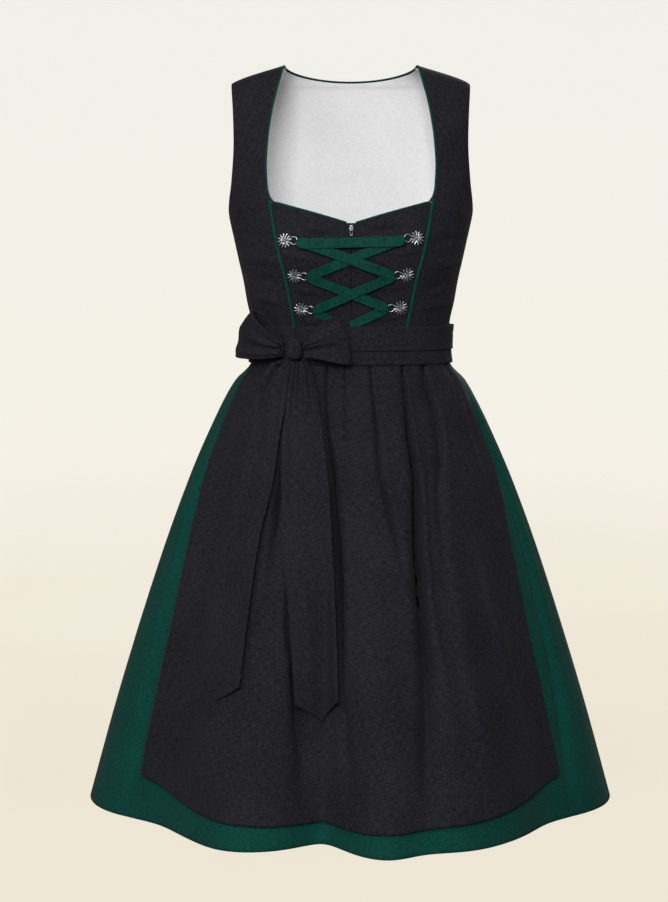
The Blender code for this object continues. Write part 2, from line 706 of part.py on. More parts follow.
def hook(name, x, z, finish):
    """A cast flower with an open loop of wire on the side of the zip."""
    flower = flower_mesh(name, finish)
    arc = np.radians(np.linspace(-150, 150, 7))
    round_loop = LOOP_REACH - LOOP_HALF + LOOP_HALF * np.cos(arc)
    along = np.concatenate([[0.0045], round_loop, [0.0045]])
    up = np.concatenate([[-0.0024], LOOP_HALF * np.sin(arc), [0.0024]])
    wire_points = np.stack([along, up, 0 * along], axis=1)
    wire = mesh_of(tube(name + "_wire", wire_points, LOOP_WIRE_D, finish, sides=1))
    wire.hide_render = True
    wire.display_type = "WIRE"
    HELPERS.objects.link(wire)
    DRESS.objects.unlink(wire)
    join = flower.modifiers.new("loop", "BOOLEAN")
    join.operation = "UNION"
    join.object = wire
    place = Vector(layer(turn_at(x, z), z, HOOK_OUT + FLOWER_T / 2))
    tip_x = x - math.copysign(LOOP_REACH, x)
    tip = Vector(layer(turn_at(tip_x, z), z, HOOK_OUT + FLOWER_T / 2))
    inward = (tip - place).normalized()
    out = Vector(normal(turn_at(x, z), z))
    out = (out - inward * out.dot(inward)).normalized()
    turned = Matrix((inward, out.cross(inward), out)).transposed().to_4x4()
    flower.matrix_world = wire.matrix_world = Matrix.Translation(place) @ turned


def lace_strip(name, start, end, level, finish):
    """A stretch of ribbon between two places on the front, some levels above the lowest."""
    (x0, z0), (x1, z1) = (start, end) if start[0] < end[0] else (end, start)
    length = math.hypot(x1 - x0, z1 - z0)
    share, width = np.linspace(0, 1, 9)[None, :], np.linspace(-0.5, 0.5, 3)[:, None] * LACE_W
    x = x0 + (x1 - x0) * share - (z1 - z0) / length * width
    z = z0 + (z1 - z0) * share + (x1 - x0) / length * width
    patch(name, turn_at(x, z), z, LACE_OUT + level * LACE_STEP, finish, RIBBON)


def lacing(finish):
    """The ribbon's stretches between the loops, and its two ends that go under the tie."""

    def loop_of(name, drop=0.0):
        x, z = HOOKS["hook_" + name]
        return x - math.copysign(LOOP_REACH - LOOP_WIRE_D, x), z - drop

    strips = (  # name, start, end, levels above the lowest
        ("lace_top", loop_of("right_top", LACE_TOP_DROP), loop_of("left_top", LACE_TOP_DROP), 2),
        ("lace_upper_under", loop_of("right_middle"), loop_of("left_top"), 0),
        ("lace_upper_over", loop_of("right_top"), loop_of("left_middle"), 1),
        ("lace_lower_under", loop_of("right_middle"), loop_of("left_bottom"), 1),
        ("lace_lower_over", loop_of("right_bottom"), loop_of("left_middle"), 2),
        ("lace_end_right", loop_of("right_bottom"), LACE_ENDS[0], 0),
        ("lace_end_left", LACE_ENDS[1], loop_of("left_bottom"), 0),
    )
    for name, start, end, level in strips:
        lace_strip(name, start, end, level, finish)


# --- the dress -------------------------------------------------------------------------

clear_scene()
DRESS = bpy.data.collections.new("dirndl_dress")
HELPERS = bpy.data.collections.new("helpers")
bpy.context.scene.collection.children.link(DRESS)
bpy.context.scene.collection.children.link(HELPERS)

black = material("black_cotton", BLACK, 0.9)
green = material("green_cotton", GREEN, 0.85)
pale = material("pale_lining", PALE, 0.8)
silver = material("cast_silver", SILVER, 0.35, 1.0)
dark_steel = material("dark_steel", STEEL, 0.4, 1.0)

front_panels(black)
side_fronts(black)
back_panel(black, pale)
skirt(green)
apron(black)
bands(black)
bow_loop("bow_loop_right", RIGHT_LOOP, RIGHT_LOOP_TURNS, black)
bow_loop("bow_loop_left", LEFT_LOOP, LEFT_LOOP_TURNS, black)
knot(black)
tail("tie_tail_right", RIGHT_TAIL, RIGHT_TAIL_END, black)
tail("tie_tail_left", LEFT_TAIL, LEFT_TAIL_END, black)
pipings(green)
zip_parts(black, dark_steel)
for hook_name, (hook_x, hook_z) in HOOKS.items():
    hook(hook_name, hook_x, hook_z, silver)
lacing(green)
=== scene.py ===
"""A dirndl dress, filled out as if worn: its cloth, ribbon, metal and studio light.

Metres, +Z up. The front faces -Y and the wearer's left is +X. The origin is midway between
the two shoulder seams.

Every cloth piece is a patch of one form, a stack of rounded sections from the shoulders to
the hem. A place on it is a turn (degrees round the form, 0 at the centre front, 90 at the
wearer's left, 180 at the centre back), a height, and a distance out from the form.
"""

import math

import bpy
import numpy as np
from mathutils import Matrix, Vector


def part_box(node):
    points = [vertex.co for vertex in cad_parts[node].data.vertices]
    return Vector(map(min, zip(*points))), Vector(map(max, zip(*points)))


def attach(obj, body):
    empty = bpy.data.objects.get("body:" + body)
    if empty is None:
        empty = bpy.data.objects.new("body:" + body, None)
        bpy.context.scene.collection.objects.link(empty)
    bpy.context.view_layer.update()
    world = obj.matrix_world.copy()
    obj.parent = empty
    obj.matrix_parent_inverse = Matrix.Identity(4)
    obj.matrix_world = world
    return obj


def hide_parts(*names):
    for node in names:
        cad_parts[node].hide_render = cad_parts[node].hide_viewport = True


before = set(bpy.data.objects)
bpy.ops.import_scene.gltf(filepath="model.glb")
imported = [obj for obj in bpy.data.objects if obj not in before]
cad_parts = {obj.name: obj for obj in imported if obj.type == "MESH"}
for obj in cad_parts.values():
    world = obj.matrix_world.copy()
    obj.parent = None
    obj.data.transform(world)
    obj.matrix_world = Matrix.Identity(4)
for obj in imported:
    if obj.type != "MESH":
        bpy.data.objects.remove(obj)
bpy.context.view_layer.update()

# Cloth
CLOTH = 0.0015  # thickness of a wall of cloth
LINING = 0.0010
RIBBON = 0.0009
SEAM = 0.0003  # gap between pieces that are sewn together

# Heights
NECK_POINT_Z = 0.0095  # inner end of the shoulder seam
SHOULDER_TIP_Z = -0.0145
BACK_NECK_Z = -0.0070
UNDERARM_Z = -0.1966
CORNER_Z = -0.1745  # where strap, neckline and princess seam meet
FRONT_NECK_Z = -0.2030  # top of the front at the zip
BAND_TOP_Z = -0.3375
WAIST_Z = -0.3650
BAND_LOW_Z = -0.3900
APRON_HEM_Z = -0.9620
APRON_CORNER_RISE = 0.0300
HEM_Z = -0.9900
APRON_TOP_Z = -0.3690
TIE_LOW_Z = -0.3710
BAND_LEDGE = 0.0030  # the waistband's top edge is this far below the tie's

# Layers, as the distance of a piece's inner face from the form
APRON_OUT = 0.0022
APRON_AIR = 0.0030  # more than that at the hem, where it hangs free of the skirt
BAND_OUT = 0.0044
TIE_OUT = 0.0064
TAIL_OUT = 0.0095
HOOK_OUT = 0.0026
LACE_OUT = 0.0052
LACE_STEP = 0.0014  # one crossing strip over the other

# The form. squareness is the power of the rounded section, 2 for an ellipse.
FORM = (  # height, half_width, front, back, squareness
    (0.0095, 0.0900, 0.045, 0.068, 2.5),
    (-0.0090, 0.1490, 0.052, 0.074, 2.5),
    (-0.0145, 0.1605, 0.056, 0.077, 2.5),
    (-0.0400, 0.1790, 0.070, 0.084, 2.5),
    (-0.0800, 0.1780, 0.085, 0.091, 2.5),
    (-0.1200, 0.1745, 0.097, 0.095, 2.5),
    (-0.1600, 0.1700, 0.108, 0.096, 2.5),
    (-0.1966, 0.1627, 0.116, 0.095, 2.5),
    (-0.2237, 0.1567, 0.120, 0.093, 2.5),
    (-0.2509, 0.1507, 0.118, 0.090, 2.5),
    (-0.2781, 0.1446, 0.111, 0.087, 2.5),
    (-0.3054, 0.1400, 0.103, 0.084, 2.5),
    (-0.3375, 0.1335, 0.094, 0.081, 2.4),
    (-0.3650, 0.1320, 0.092, 0.080, 2.3),
    (-0.3900, 0.1345, 0.093, 0.081, 2.3),
    (-0.4148, 0.1555, 0.106, 0.097, 2.2),
    (-0.4423, 0.1715, 0.124, 0.118, 2.1),
    (-0.4974, 0.1979, 0.150, 0.150, 2.0),
    (-0.5527, 0.2216, 0.174, 0.178, 2.0),
    (-0.6360, 0.2526, 0.207, 0.212, 2.0),
    (-0.7478, 0.2894, 0.245, 0.250, 2.0),
    (-0.8602, 0.3238, 0.278, 0.283, 2.0),
    (-0.9900, 0.3600, 0.314, 0.318, 2.0),
)
CUP_X, CUP_Z, CUP_WIDE, CUP_TALL, CUP_OUT = 0.072, -0.232, 0.042, 0.048, 0.009

# Folds of the skirt, which open towards the hem. A negative depth is a valley.
FOLDS = (  # turn, half_width (both degrees), depth at the hem, height where it starts
    (-27.0, 10.0, 0.022, -0.46),
    (-8.0, 7.5, -0.042, -0.50),
    (7.0, 7.5, 0.034, -0.50),
    (25.0, 12.0, 0.018, -0.44),
    (58.0, 15.0, -0.034, -0.44),
    (-56.0, 15.0, -0.034, -0.44),
    (119.0, 11.0, 0.020, -0.42),
    (139.0, 9.0, -0.024, -0.45),
    (158.0, 9.0, 0.024, -0.43),
    (176.0, 8.0, -0.022, -0.47),
    (-166.0, 8.0, 0.026, -0.43),
    (-146.0, 9.0, -0.022, -0.46),
    (-123.0, 12.0, 0.020, -0.42),
)
APRON_EDGE = (  # height, turn of the apron's side edge
    (-0.3650, 84.0),
    (-0.3900, 79.0),
    (-0.4200, 72.5),
    (-0.4530, 71.5),
    (-0.5050, 70.8),
    (-0.6350, 64.5),
    (-0.7620, 62.5),
    (-0.9620, 63.0),
)

# Edges of the bodice, as seen from the front: distance from the middle at a height.
PRINCESS_SEAM = (  # height, x
    (WAIST_Z, 0.0725),
    (BAND_TOP_Z, 0.0748),
    (-0.3080, 0.0798),
    (-0.2740, 0.0858),
    (-0.2440, 0.0935),
    (-0.2050, 0.1015),
    (CORNER_Z, 0.1065),
)
STRAP_EDGE = (  # height, x
    (CORNER_Z, 0.1065),
    (-0.1560, 0.1118),
    (-0.1250, 0.1136),
    (-0.0940, 0.1119),
    (-0.0530, 0.1063),
    (NECK_POINT_Z, 0.0910),
)
ARMHOLE_EDGE = (  # height, x
    (UNDERARM_Z, 0.1627),
    (-0.1860, 0.1638),
    (-0.1450, 0.1590),
    (-0.0950, 0.1560),
    (-0.0500, 0.1575),
    (SHOULDER_TIP_Z, 0.1605),
)
ZIP_HALF_GAP = 0.0005
ZIP_TAPE_HALF, ZIP_TAPE_OUT = 0.0110, -0.0026
ZIP_NOTCH = 0.0064  # half width of the opening above the slider
ZIP_NOTCH_Z = -0.2080

# Hooks of the lacing, each a cast flower with a loop towards the middle
HOOKS = {  # name: (x, height)
    "hook_right_top": (-0.0860, -0.2250),
    "hook_right_middle": (-0.0736, -0.2705),
    "hook_right_bottom": (-0.0654, -0.3150),
    "hook_left_top": (0.0848, -0.2220),
    "hook_left_middle": (0.0726, -0.2688),
    "hook_left_bottom": (0.0646, -0.3125),
}
FLOWER_R, FLOWER_T, PETALS = 0.0102, 0.0022, 12
LOOP_REACH, LOOP_HALF, LOOP_WIRE_D = 0.0180, 0.0050, 0.0016
LACE_W = 0.0125
LACE_TOP_DROP = 0.0040  # the top bar hangs low in its loops
LACE_ENDS = ((-0.0270, -0.3290), (-0.0010, -0.3365))  # where the ends go under the tie

# The bow
KNOT_X, KNOT_Z = -0.0690, -0.3680
KNOT_W, KNOT_H, KNOT_D = 0.0215, 0.0280, 0.0150
KNOT_HALF_TURN = 7.5  # degrees of the form that the knot takes at each side
LOOP_DEEP = 0.0110  # half of a loop's depth
LOOP_MOUTH = 0.45  # depth at the knot, as a share
RIGHT_LOOP_TURNS = (-60.0, -83.0)  # its far end, at the top and at the bottom edge
LEFT_LOOP_TURNS = (-10.0, -0.5)
RIGHT_LOOP = (  # share of the way out, top edge, bottom edge
    (0.0, -0.3570, -0.3790),
    (0.35, -0.3370, -0.3850),
    (0.7, -0.3190, -0.3865),
    (1.0, -0.3110, -0.3840),
)
LEFT_LOOP = (
    (0.0, -0.3570, -0.3790),
    (0.35, -0.3350, -0.3830),
    (0.7, -0.3240, -0.3880),
    (1.0, -0.3200, -0.3900),
)

# The hanging ends, seen from the front
RIGHT_TAIL = (  # height, x of the edge on the wearer's right, x of the other edge
    (-0.3860, -0.0890, -0.0725),
    (-0.4034, -0.1064, -0.0765),
    (-0.4309, -0.1220, -0.0808),
    (-0.4833, -0.1355, -0.0880),
    (-0.5402, -0.1465, -0.0953),
    (-0.6151, -0.1645, -0.1117),
    (-0.6858, -0.1787, -0.1220),
    (-0.8164, -0.1960, -0.1385),
)
RIGHT_TAIL_END = (-0.7811, -0.8164, -0.7952)  # height of the corner, the point and the corner
LEFT_TAIL = (
    (-0.3860, -0.0710, -0.0560),
    (-0.4171, -0.0768, -0.0461),
    (-0.4511, -0.0815, -0.0395),
    (-0.4981, -0.0875, -0.0331),
    (-0.5444, -0.0880, -0.0288),
    (-0.6126, -0.0872, -0.0227),
    (-0.6983, -0.0810, -0.0128),
    (-0.8381, -0.0740, -0.0045),
)
LEFT_TAIL_END = (-0.8141, -0.8381, -0.8102)

# Piping, as radii
SEAM_PIPING, NECK_PIPING, BACK_NECK_PIPING = 0.0021, 0.0014, 0.0011
PIPING_OVER_EDGE = 0.0012  # from an edge of the cloth out to the middle of its piping
SEAM_ROLL = (0.0012, 0.0020)  # how deep and how wide the cloth rolls in under the piping

# Stitching
STITCH, STITCH_R = 0.0032, 0.00022
APRON_HEM_UP, SKIRT_HEM_UP = 0.0180, 0.0200


# --- numbers along a table -------------------------------------------------------------


def follow(rows, at, column=1):
    """Value of a column at a height, by a cubic through the rows that never overshoots."""
    table = np.array(sorted(rows), float)
    x, y = table[:, 0], table[:, column]
    step = np.diff(x)
    slope = np.diff(y) / step
    tangent = np.zeros_like(y)
    turning = slope[:-1] * slope[1:] <= 0
    harmonic = 2 * slope[:-1] * slope[1:] / np.where(turning, 1, slope[:-1] + slope[1:])
    tangent[1:-1] = np.where(turning, 0, harmonic)
    tangent[0], tangent[-1] = slope[0], slope[-1]
    at = np.clip(np.asarray(at, float), x[0], x[-1])
    i = np.clip(np.searchsorted(x, at) - 1, 0, len(step) - 1)
    t = (at - x[i]) / step[i]
    start = y[i] * (1 + 2 * t) * (1 - t) ** 2 + tangent[i] * step[i] * t * (1 - t) ** 2
    return start + y[i + 1] * t * t * (3 - 2 * t) + tangent[i + 1] * step[i] * t * t * (t - 1)


def bell(x):
    """Smooth hump, 1 at zero and almost nothing past 2."""
    return np.exp(-x * x)


def ramp(x, low, high):
    """0 before low, 1 after high, and smooth between them."""
    t = np.clip((np.asarray(x, float) - low) / (high - low), 0, 1)
    return t * t * (3 - 2 * t)


def waver(x, seed, reach=3):
    """Uneven wave of about unit height: a sum of sines whose rates don't share a factor."""
    k = np.arange(1, reach + 1)
    rate = k * (1 + 0.37 * np.sin(seed * 1.7 + k))
    phase = seed * (2.3 + k)
    return (np.sin(np.multiply.outer(x, rate) + phase) / k).sum(axis=-1) / 1.4


# --- the form --------------------------------------------------------------------------


def fold_depth(turn, z):
    """How far the skirt's folds stand out: each is a bell round the skirt that grows down."""
    depth = np.zeros(np.broadcast(turn, z).shape)
    for at, half_width, hem_depth, top in FOLDS:
        round_it = (turn - at + 180) % 360 - 180
        down = np.clip((top - z) / (top - HEM_Z), 0, 1)
        depth = depth + hem_depth * down**1.3 * bell(round_it / half_width)
    return depth


def surface(turn, z):
    """Point on the form: a rounded section whose half widths and power follow the height."""
    turn, z = np.broadcast_arrays(np.asarray(turn, float), np.asarray(z, float))
    angle = np.radians(turn)
    wide, front, back, power = (follow(FORM, z, c) for c in (1, 2, 3, 4))
    deep = np.where(np.cos(angle) > 0, front, back)
    square = np.abs(np.sin(angle) / wide) ** power + np.abs(np.cos(angle) / deep) ** power
    radius = square ** (-1 / power) + fold_depth(turn, z)
    x = radius * np.sin(angle)
    cup = bell((np.abs(x) - CUP_X) / CUP_WIDE) * bell((z - CUP_Z) / CUP_TALL)
    radius = radius + CUP_OUT * cup * (np.cos(angle) > 0) * np.cos(angle)
    return np.stack([radius * np.sin(angle), -radius * np.cos(angle), z], axis=-1)


def normal(turn, z):
    """Outward direction of the form, square to its two small steps."""
    small_turn, small_z = 0.05, 0.0004
    round_it = surface(turn + small_turn, z) - surface(turn - small_turn, z)
    up = surface(turn, z + small_z) - surface(turn, z - small_z)
    out = np.cross(round_it, up)
    return out / np.linalg.norm(out, axis=-1, keepdims=True)


def layer(turn, z, out):
    """Point at a distance out from the form."""
    return surface(turn, z) + normal(turn, z) * np.asarray(out, float)[..., None]


def turn_at(x, z, on_back=False):
    """Turn on the front (or the back) of the form that shows at x, by halving the range."""
    x, z = np.broadcast_arrays(np.asarray(x, float), np.asarray(z, float))
    low = np.full(x.shape, 90.0 if on_back else -90.0)
    high = low + 180
    for _ in range(26):
        middle = (low + high) / 2
        before = surface(middle, z)[..., 0] > x if on_back else surface(middle, z)[..., 0] < x
        low, high = np.where(before, middle, low), np.where(before, high, middle)
    return (low + high) / 2


def girth(turn, z):
    """Distance of the form from its upright axis."""
    return np.linalg.norm(surface(turn, z)[..., :2], axis=-1)


def across(start, end, share):
    """Rows between two edges: start and end hold one value a row, share one a column."""
    return start[:, None] + (end - start)[:, None] * share[None, :]


def inset(turn, z, way):
    """Turns moved along the form by half a seam."""
    return turn + way * np.degrees(0.65 * SEAM / girth(turn, z))


# --- creases ---------------------------------------------------------------------------


def drags(x, z, table):
    """Soft creases that cloth makes where it is pulled: bells across straight runs.

    A row is the run's two ends (x, z), its half width and its height, which is negative in
    a trough. The bell fades to nothing at both ends, and it is steeper on its lower side.
    """
    out = np.zeros(np.broadcast(x, z).shape)
    for x0, z0, x1, z1, half_width, height in table:
        length = math.hypot(x1 - x0, z1 - z0)
        along_x, along_z = (x1 - x0) / length, (z1 - z0) / length
        along = (x - x0) * along_x + (z - z0) * along_z
        aside = (z - z0) * along_x - (x - x0) * along_z
        aside = aside + 0.10 * half_width * waver(along * 90, x0 * 50 + z0 * 70)
        share = np.clip(along / length, 0, 1)
        width = np.where(aside * np.sign(along_x) > 0, 1.25, 0.75) * half_width
        out = out + height * np.sin(np.pi * share) ** 1.5 * bell(aside / width)
    return out


def hangs(turn, z, table):
    """Soft folds that hang down a skirt: each follows a line from a top to a lower end.

    A row is the turn and height of the top, the turn and height of the lower end, the half
    width at the top and at the lower end in metres, and the height that it stands out.
    """
    out = np.zeros(np.broadcast(turn, z).shape)
    for turn0, z0, turn1, z1, width0, width1, height in table:
        down = (z0 - z) / (z0 - z1)
        share = np.clip(down, 0, 1)
        line = turn0 + (turn1 - turn0) * share + 0.9 * waver(z * 9, turn0)
        aside = np.radians((turn - line + 180) % 360 - 180) * girth(turn, z)
        width = width0 + (width1 - width0) * share
        width = width * np.where(aside > 0, 1.2, 0.8)
        fade = ramp(down, -0.04, 0.12) * (1 - ramp(down, 0.7, 1.04))
        out = out + height * fade * bell(aside / width)
    return out


# --- making pieces ---------------------------------------------------------------------


def lengths(points):
    """Arc lengths of a grid in metres, across from its middle column and up from its foot."""
    step = np.linalg.norm(np.diff(points, axis=1), axis=2)
    along = np.concatenate([np.zeros((len(points), 1)), np.cumsum(step, axis=1)], axis=1)
    along = along - along[:, [points.shape[1] // 2]]
    step = np.linalg.norm(np.diff(points, axis=0), axis=2).mean(axis=1)
    up = np.concatenate([[0], np.cumsum(step)])
    return np.stack([along, np.broadcast_to(up[:, None], along.shape)], axis=-1)


def new_piece(name, verts, faces, finish, body="dress", nodes=(), slot=None):
    """A mesh piece that rides on a body and stands for its CAD nodes, which it hides. slot is not
    used.
    """
    mesh = bpy.data.meshes.new(name)
    mesh.from_pydata(np.asarray(verts).tolist(), [], [list(face) for face in faces])
    mesh.materials.append(finish)
    mesh.shade_smooth()
    obj = bpy.data.objects.new(name, mesh)
    bpy.context.scene.collection.objects.link(obj)
    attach(obj, body)
    if nodes:
        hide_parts(*nodes)
    return obj


def threads_of(obj, along, aside):
    """Lengths across and along the threads of each point, as the piece's thread map."""
    corner = np.empty(len(obj.data.loops), int)
    obj.data.loops.foreach_get("vertex_index", corner)
    flat = np.stack([aside, along], axis=1)
    threads = obj.data.uv_layers.new(name="threads")
    threads.uv.foreach_set("vector", flat[corner].ravel())


def grid_faces(rows, columns, closed=False):
    """Quads of a grid, and with closed those from its last column back to its first."""
    index = np.arange(rows * columns).reshape(rows, columns)
    if closed:
        index = np.concatenate([index, index[:, :1]], axis=1)
    corners = (index[:-1, :-1], index[:-1, 1:], index[1:, 1:], index[1:, :-1])
    return np.stack(corners, axis=-1).reshape(-1, 4)


def wall(name, points, thick, finish, slot, offset=1.0):
    """A wall of cloth on a grid of points: rows run up, columns to the wearer's left."""
    rows, columns = points.shape[:2]
    faces = grid_faces(rows, columns)
    obj = new_piece(name, points.reshape(-1, 3), faces, finish, nodes=(name,), slot=slot)
    aside, along = lengths(points).reshape(-1, 2).T
    threads_of(obj, along, aside)
    solid = obj.modifiers.new("thickness", "SOLIDIFY")
    solid.thickness = thick
    solid.offset = offset


def patch(name, turn, z, out, finish=None, slot="black_weave", thick=CLOTH):
    """A wall of cloth on the form, its inner face at a distance out from it, black by default."""
    turn, z, out = np.broadcast_arrays(turn, z, out)
    wall(name, layer(turn, z, out), thick, finish or black, slot)


def frames(path):
    """Two directions square to a path at each point: one sideways, one up from the other."""
    along = np.gradient(path, axis=0)
    along = along / np.linalg.norm(along, axis=1, keepdims=True)
    guide = np.where(np.abs(along[:, 2:3]) > 0.9, (0.0, -1.0, 0.0), (0.0, 0.0, 1.0))
    side = np.cross(along, guide)
    side = side / np.linalg.norm(side, axis=1, keepdims=True)
    return side, np.cross(side, along)


def tube(path, radius, sides=10, ends=True):
    """(points, faces) of a round profile carried along a path, closed by a point at each end."""
    side, up = frames(path)
    angle = np.linspace(0, -2 * np.pi, sides, endpoint=False)
    ring = np.cos(angle)[None, :, None] * side[:, None] + np.sin(angle)[None, :, None] * up[:, None]
    radius = np.broadcast_to(radius, len(path))[:, None, None]
    verts = (path[:, None] + ring * radius).reshape(-1, 3)
    faces = grid_faces(len(path), sides, closed=True).tolist()
    if ends:
        last = (len(path) - 1) * sides
        faces += [list(range(sides))[::-1], list(range(last, last + sides))]
    return verts, faces


def together(parts):
    """(points, faces) of several meshes as one."""
    verts, faces, start = [], [], 0
    for points, polygons in parts:
        verts.append(points)
        faces += [[start + i for i in polygon] for polygon in polygons]
        start += len(points)
    return np.concatenate(verts), faces


# --- materials -------------------------------------------------------------------------


def paint(code):
    """sRGB hex to linear red, green, blue and alpha."""
    rgb = np.array([int(code[i : i + 2], 16) for i in (0, 2, 4)]) / 255
    rgb = np.where(rgb <= 0.04045, rgb / 12.92, ((rgb + 0.055) / 1.055) ** 2.4)
    return (*rgb.tolist(), 1.0)


def add(tree, kind, inputs=None, **fields):
    """Adds a node: fields are set on it, and each input takes a value or follows a socket."""
    node = tree.nodes.new("ShaderNode" + kind)
    for field, value in fields.items():
        setattr(node, field, value)
    for key, value in (inputs or {}).items():
        if isinstance(value, bpy.types.NodeSocket):
            tree.links.new(value, node.inputs[key])
        else:
            node.inputs[key].default_value = value
    return node


def finish_of(name, **shader_values):
    """A new material, its node tree and its shader, with the shader's constant values set."""
    made = bpy.data.materials.new(name)
    made.use_nodes = True
    shader = made.node_tree.nodes["Principled BSDF"]
    for key, value in shader_values.items():
        shader.inputs[key.replace("_", " ")].default_value = value
    return made, made.node_tree, shader


MM = 0.001


def woven(name, dark, light, thread, slub, crumple, roughness, **shader_values):
    """Woven cloth: two crossing sets of uneven threads, slow shifts of tone, soft crumples.

    Each set of threads is noise drawn out along the thread. thread and slub are its width
    and the length of its thick places in metres, and crumple is the height of the cloth's
    small dents.
    """
    made, tree, shader = finish_of(name, **shader_values)
    threads = add(tree, "UVMap", uv_map="threads").outputs["UV"]
    sets = []
    for scale in ((1 / thread, 1 / slub, 1), (1 / slub, 1 / thread, 1)):
        run = add(tree, "Mapping", {"Vector": threads, "Scale": scale})
        knobs = {"Vector": run.outputs[0], "Scale": 1.0, "Detail": 2.0, "Roughness": 0.6}
        sets.append(add(tree, "TexNoise", knobs, noise_dimensions="2D").outputs[0])
    cross = add(tree, "Math", {0: sets[0], 1: sets[1]}, operation="ADD").outputs[0]
    place = add(tree, "TexCoord").outputs["Object"]
    drift = add(tree, "TexNoise", {"Vector": place, "Scale": 14.0, "Detail": 3.0}).outputs[0]
    both = add(tree, "Math", {0: drift, 1: 0.35, 2: cross}, operation="MULTIPLY_ADD").outputs[0]
    tone = add(tree, "MapRange", {0: both, 1: 0.88, 2: 1.46}).outputs[0]
    mixed = {"Factor": tone, 6: paint(dark), 7: paint(light)}
    colour = add(tree, "Mix", mixed, data_type="RGBA").outputs[2]
    tree.links.new(colour, shader.inputs["Base Color"])
    dull = {0: cross, 1: 0.6, 2: 1.4, 3: roughness + 0.05, 4: roughness - 0.08}
    tree.links.new(add(tree, "MapRange", dull).outputs[0], shader.inputs["Roughness"])
    dents = {"Vector": place, "Scale": 38.0, "Detail": 1.5, "Roughness": 0.5, "Distortion": 0.6}
    dent = add(tree, "TexNoise", dents).outputs[0]
    low = add(tree, "Bump", {"Height": dent, "Distance": crumple, "Strength": 1.0})
    knots = {"Height": cross, "Distance": 0.16 * MM, "Strength": 1.0, "Normal": low.outputs[0]}
    tree.links.new(add(tree, "Bump", knots).outputs[0], shader.inputs["Normal"])
    return made


def cast(name, dark, light, roughness, grain, **shader_values):
    """Cast or stamped metal: darker in its low places and dulled by fine pits."""
    made, tree, shader = finish_of(name, Metallic=1.0, **shader_values)
    place = add(tree, "TexCoord").outputs["Object"]
    pits = add(tree, "TexNoise", {"Vector": place, "Scale": 1 / grain, "Detail": 3.0}).outputs[0]
    hollows = add(tree, "NewGeometry").outputs["Pointiness"]
    bright = add(tree, "MapRange", {0: hollows, 1: 0.44, 2: 0.56}).outputs[0]
    worn = add(tree, "Math", {0: pits, 1: 0.5, 2: bright}, operation="MULTIPLY_ADD").outputs[0]
    mixed = {"Factor": worn, 6: paint(dark), 7: paint(light)}
    colour = add(tree, "Mix", mixed, data_type="RGBA").outputs[2]
    tree.links.new(colour, shader.inputs["Base Color"])
    dull = {0: pits, 3: roughness - 0.08, 4: roughness + 0.12}
    tree.links.new(add(tree, "MapRange", dull).outputs[0], shader.inputs["Roughness"])
    bump = {"Height": pits, "Distance": 0.06 * MM, "Strength": 1.0}
    tree.links.new(add(tree, "Bump", bump).outputs[0], shader.inputs["Normal"])
    return made


# Black slubby cotton, matte, with a faint blue cast where light grazes it. Threads are
# 0.4 mm and are drawn 1.1 mm wide, because finer ones don't show.
black = woven("black_slub_cotton_woven", "0f0e13", "29282f", 1.0 * MM, 8 * MM, 0.7 * MM, 0.88,
              Sheen_Weight=0.02, Sheen_Roughness=0.5, Specular_IOR_Level=0.12)
# Green cotton, closer and smoother than the black.
green = woven("green_cotton_plain_woven", "012e28", "054a41", 0.9 * MM, 6 * MM, 0.7 * MM, 0.85,
              Sheen_Weight=0.02, Sheen_Roughness=0.5, Specular_IOR_Level=0.12)
# Cross-ribbed ribbon with a low lustre.
ribbon_green = woven("green_ribbon_grosgrain", "002821", "054a40", 0.8 * MM, 12 * MM, 0.3 * MM,
                     0.75, Sheen_Weight=0.0, Specular_IOR_Level=0.12)
# Pale cotton lining, matte and almost even.
pale = woven("pale_cotton_lining", "ebebed", "fafafb", 0.8 * MM, 8 * MM, 0.3 * MM, 0.9,
             Specular_IOR_Level=0.2)
# Zip tape, close knit polyester in black.
tape_black = woven("black_zip_tape_knitted", "0c0c0f", "1a1a1e", 0.7 * MM, 3 * MM, 0.1 * MM,
                   0.8, Specular_IOR_Level=0.3)
# Cast zinc, silver plated and then blackened in the hollows.
silver = cast("silver_plated_casting", "15181a", "b4b9bb", 0.30, 1.5 * MM)
# Dark nickel on the zip's metal parts.
nickel = cast("dark_nickel_zip_metal", "1b1b1d", "8f8f90", 0.32, 1.2 * MM)


# --- bodice ----------------------------------------------------------------------------

FRONT_ROWS, FRONT_COLUMNS = 96, 40
SIDE_LOW_ROWS, SIDE_HIGH_ROWS, SIDE_COLUMNS = 80, 66, 44
STRAP_SHARE = 0.375  # of half of the back's top, up to the neck
STRAP_COLUMNS, NECK_COLUMNS = 22, 36  # of half of the back
BACK_PULL = 3.0  # how late the back's columns turn towards the shoulder and the neck

FRONT_DRAGS = (  # x, z, x, z, half width, height: of the wearer's left half
    (0.012, -0.209, 0.070, -0.200, 0.0040, 0.0030),
    (0.020, -0.214, 0.086, -0.207, 0.0035, -0.0030),
    (0.050, -0.245, 0.094, -0.236, 0.0045, 0.0025),
    (0.010, -0.252, 0.050, -0.262, 0.0040, -0.0025),
    (0.030, -0.290, 0.080, -0.281, 0.0045, 0.0025),
    (0.008, -0.300, 0.048, -0.311, 0.0040, -0.0023),
    (0.020, -0.330, 0.074, -0.322, 0.0045, 0.0021),
)
SIDE_DRAGS = (
    (0.100, -0.232, 0.158, -0.219, 0.0070, -0.0030),
    (0.092, -0.262, 0.150, -0.252, 0.0060, 0.0033),
    (0.088, -0.293, 0.142, -0.279, 0.0060, -0.0030),
    (0.080, -0.316, 0.140, -0.305, 0.0050, 0.0027),
    (0.110, -0.180, 0.160, -0.196, 0.0080, 0.0033),
    (0.112, -0.120, 0.150, -0.150, 0.0090, -0.0027),
)


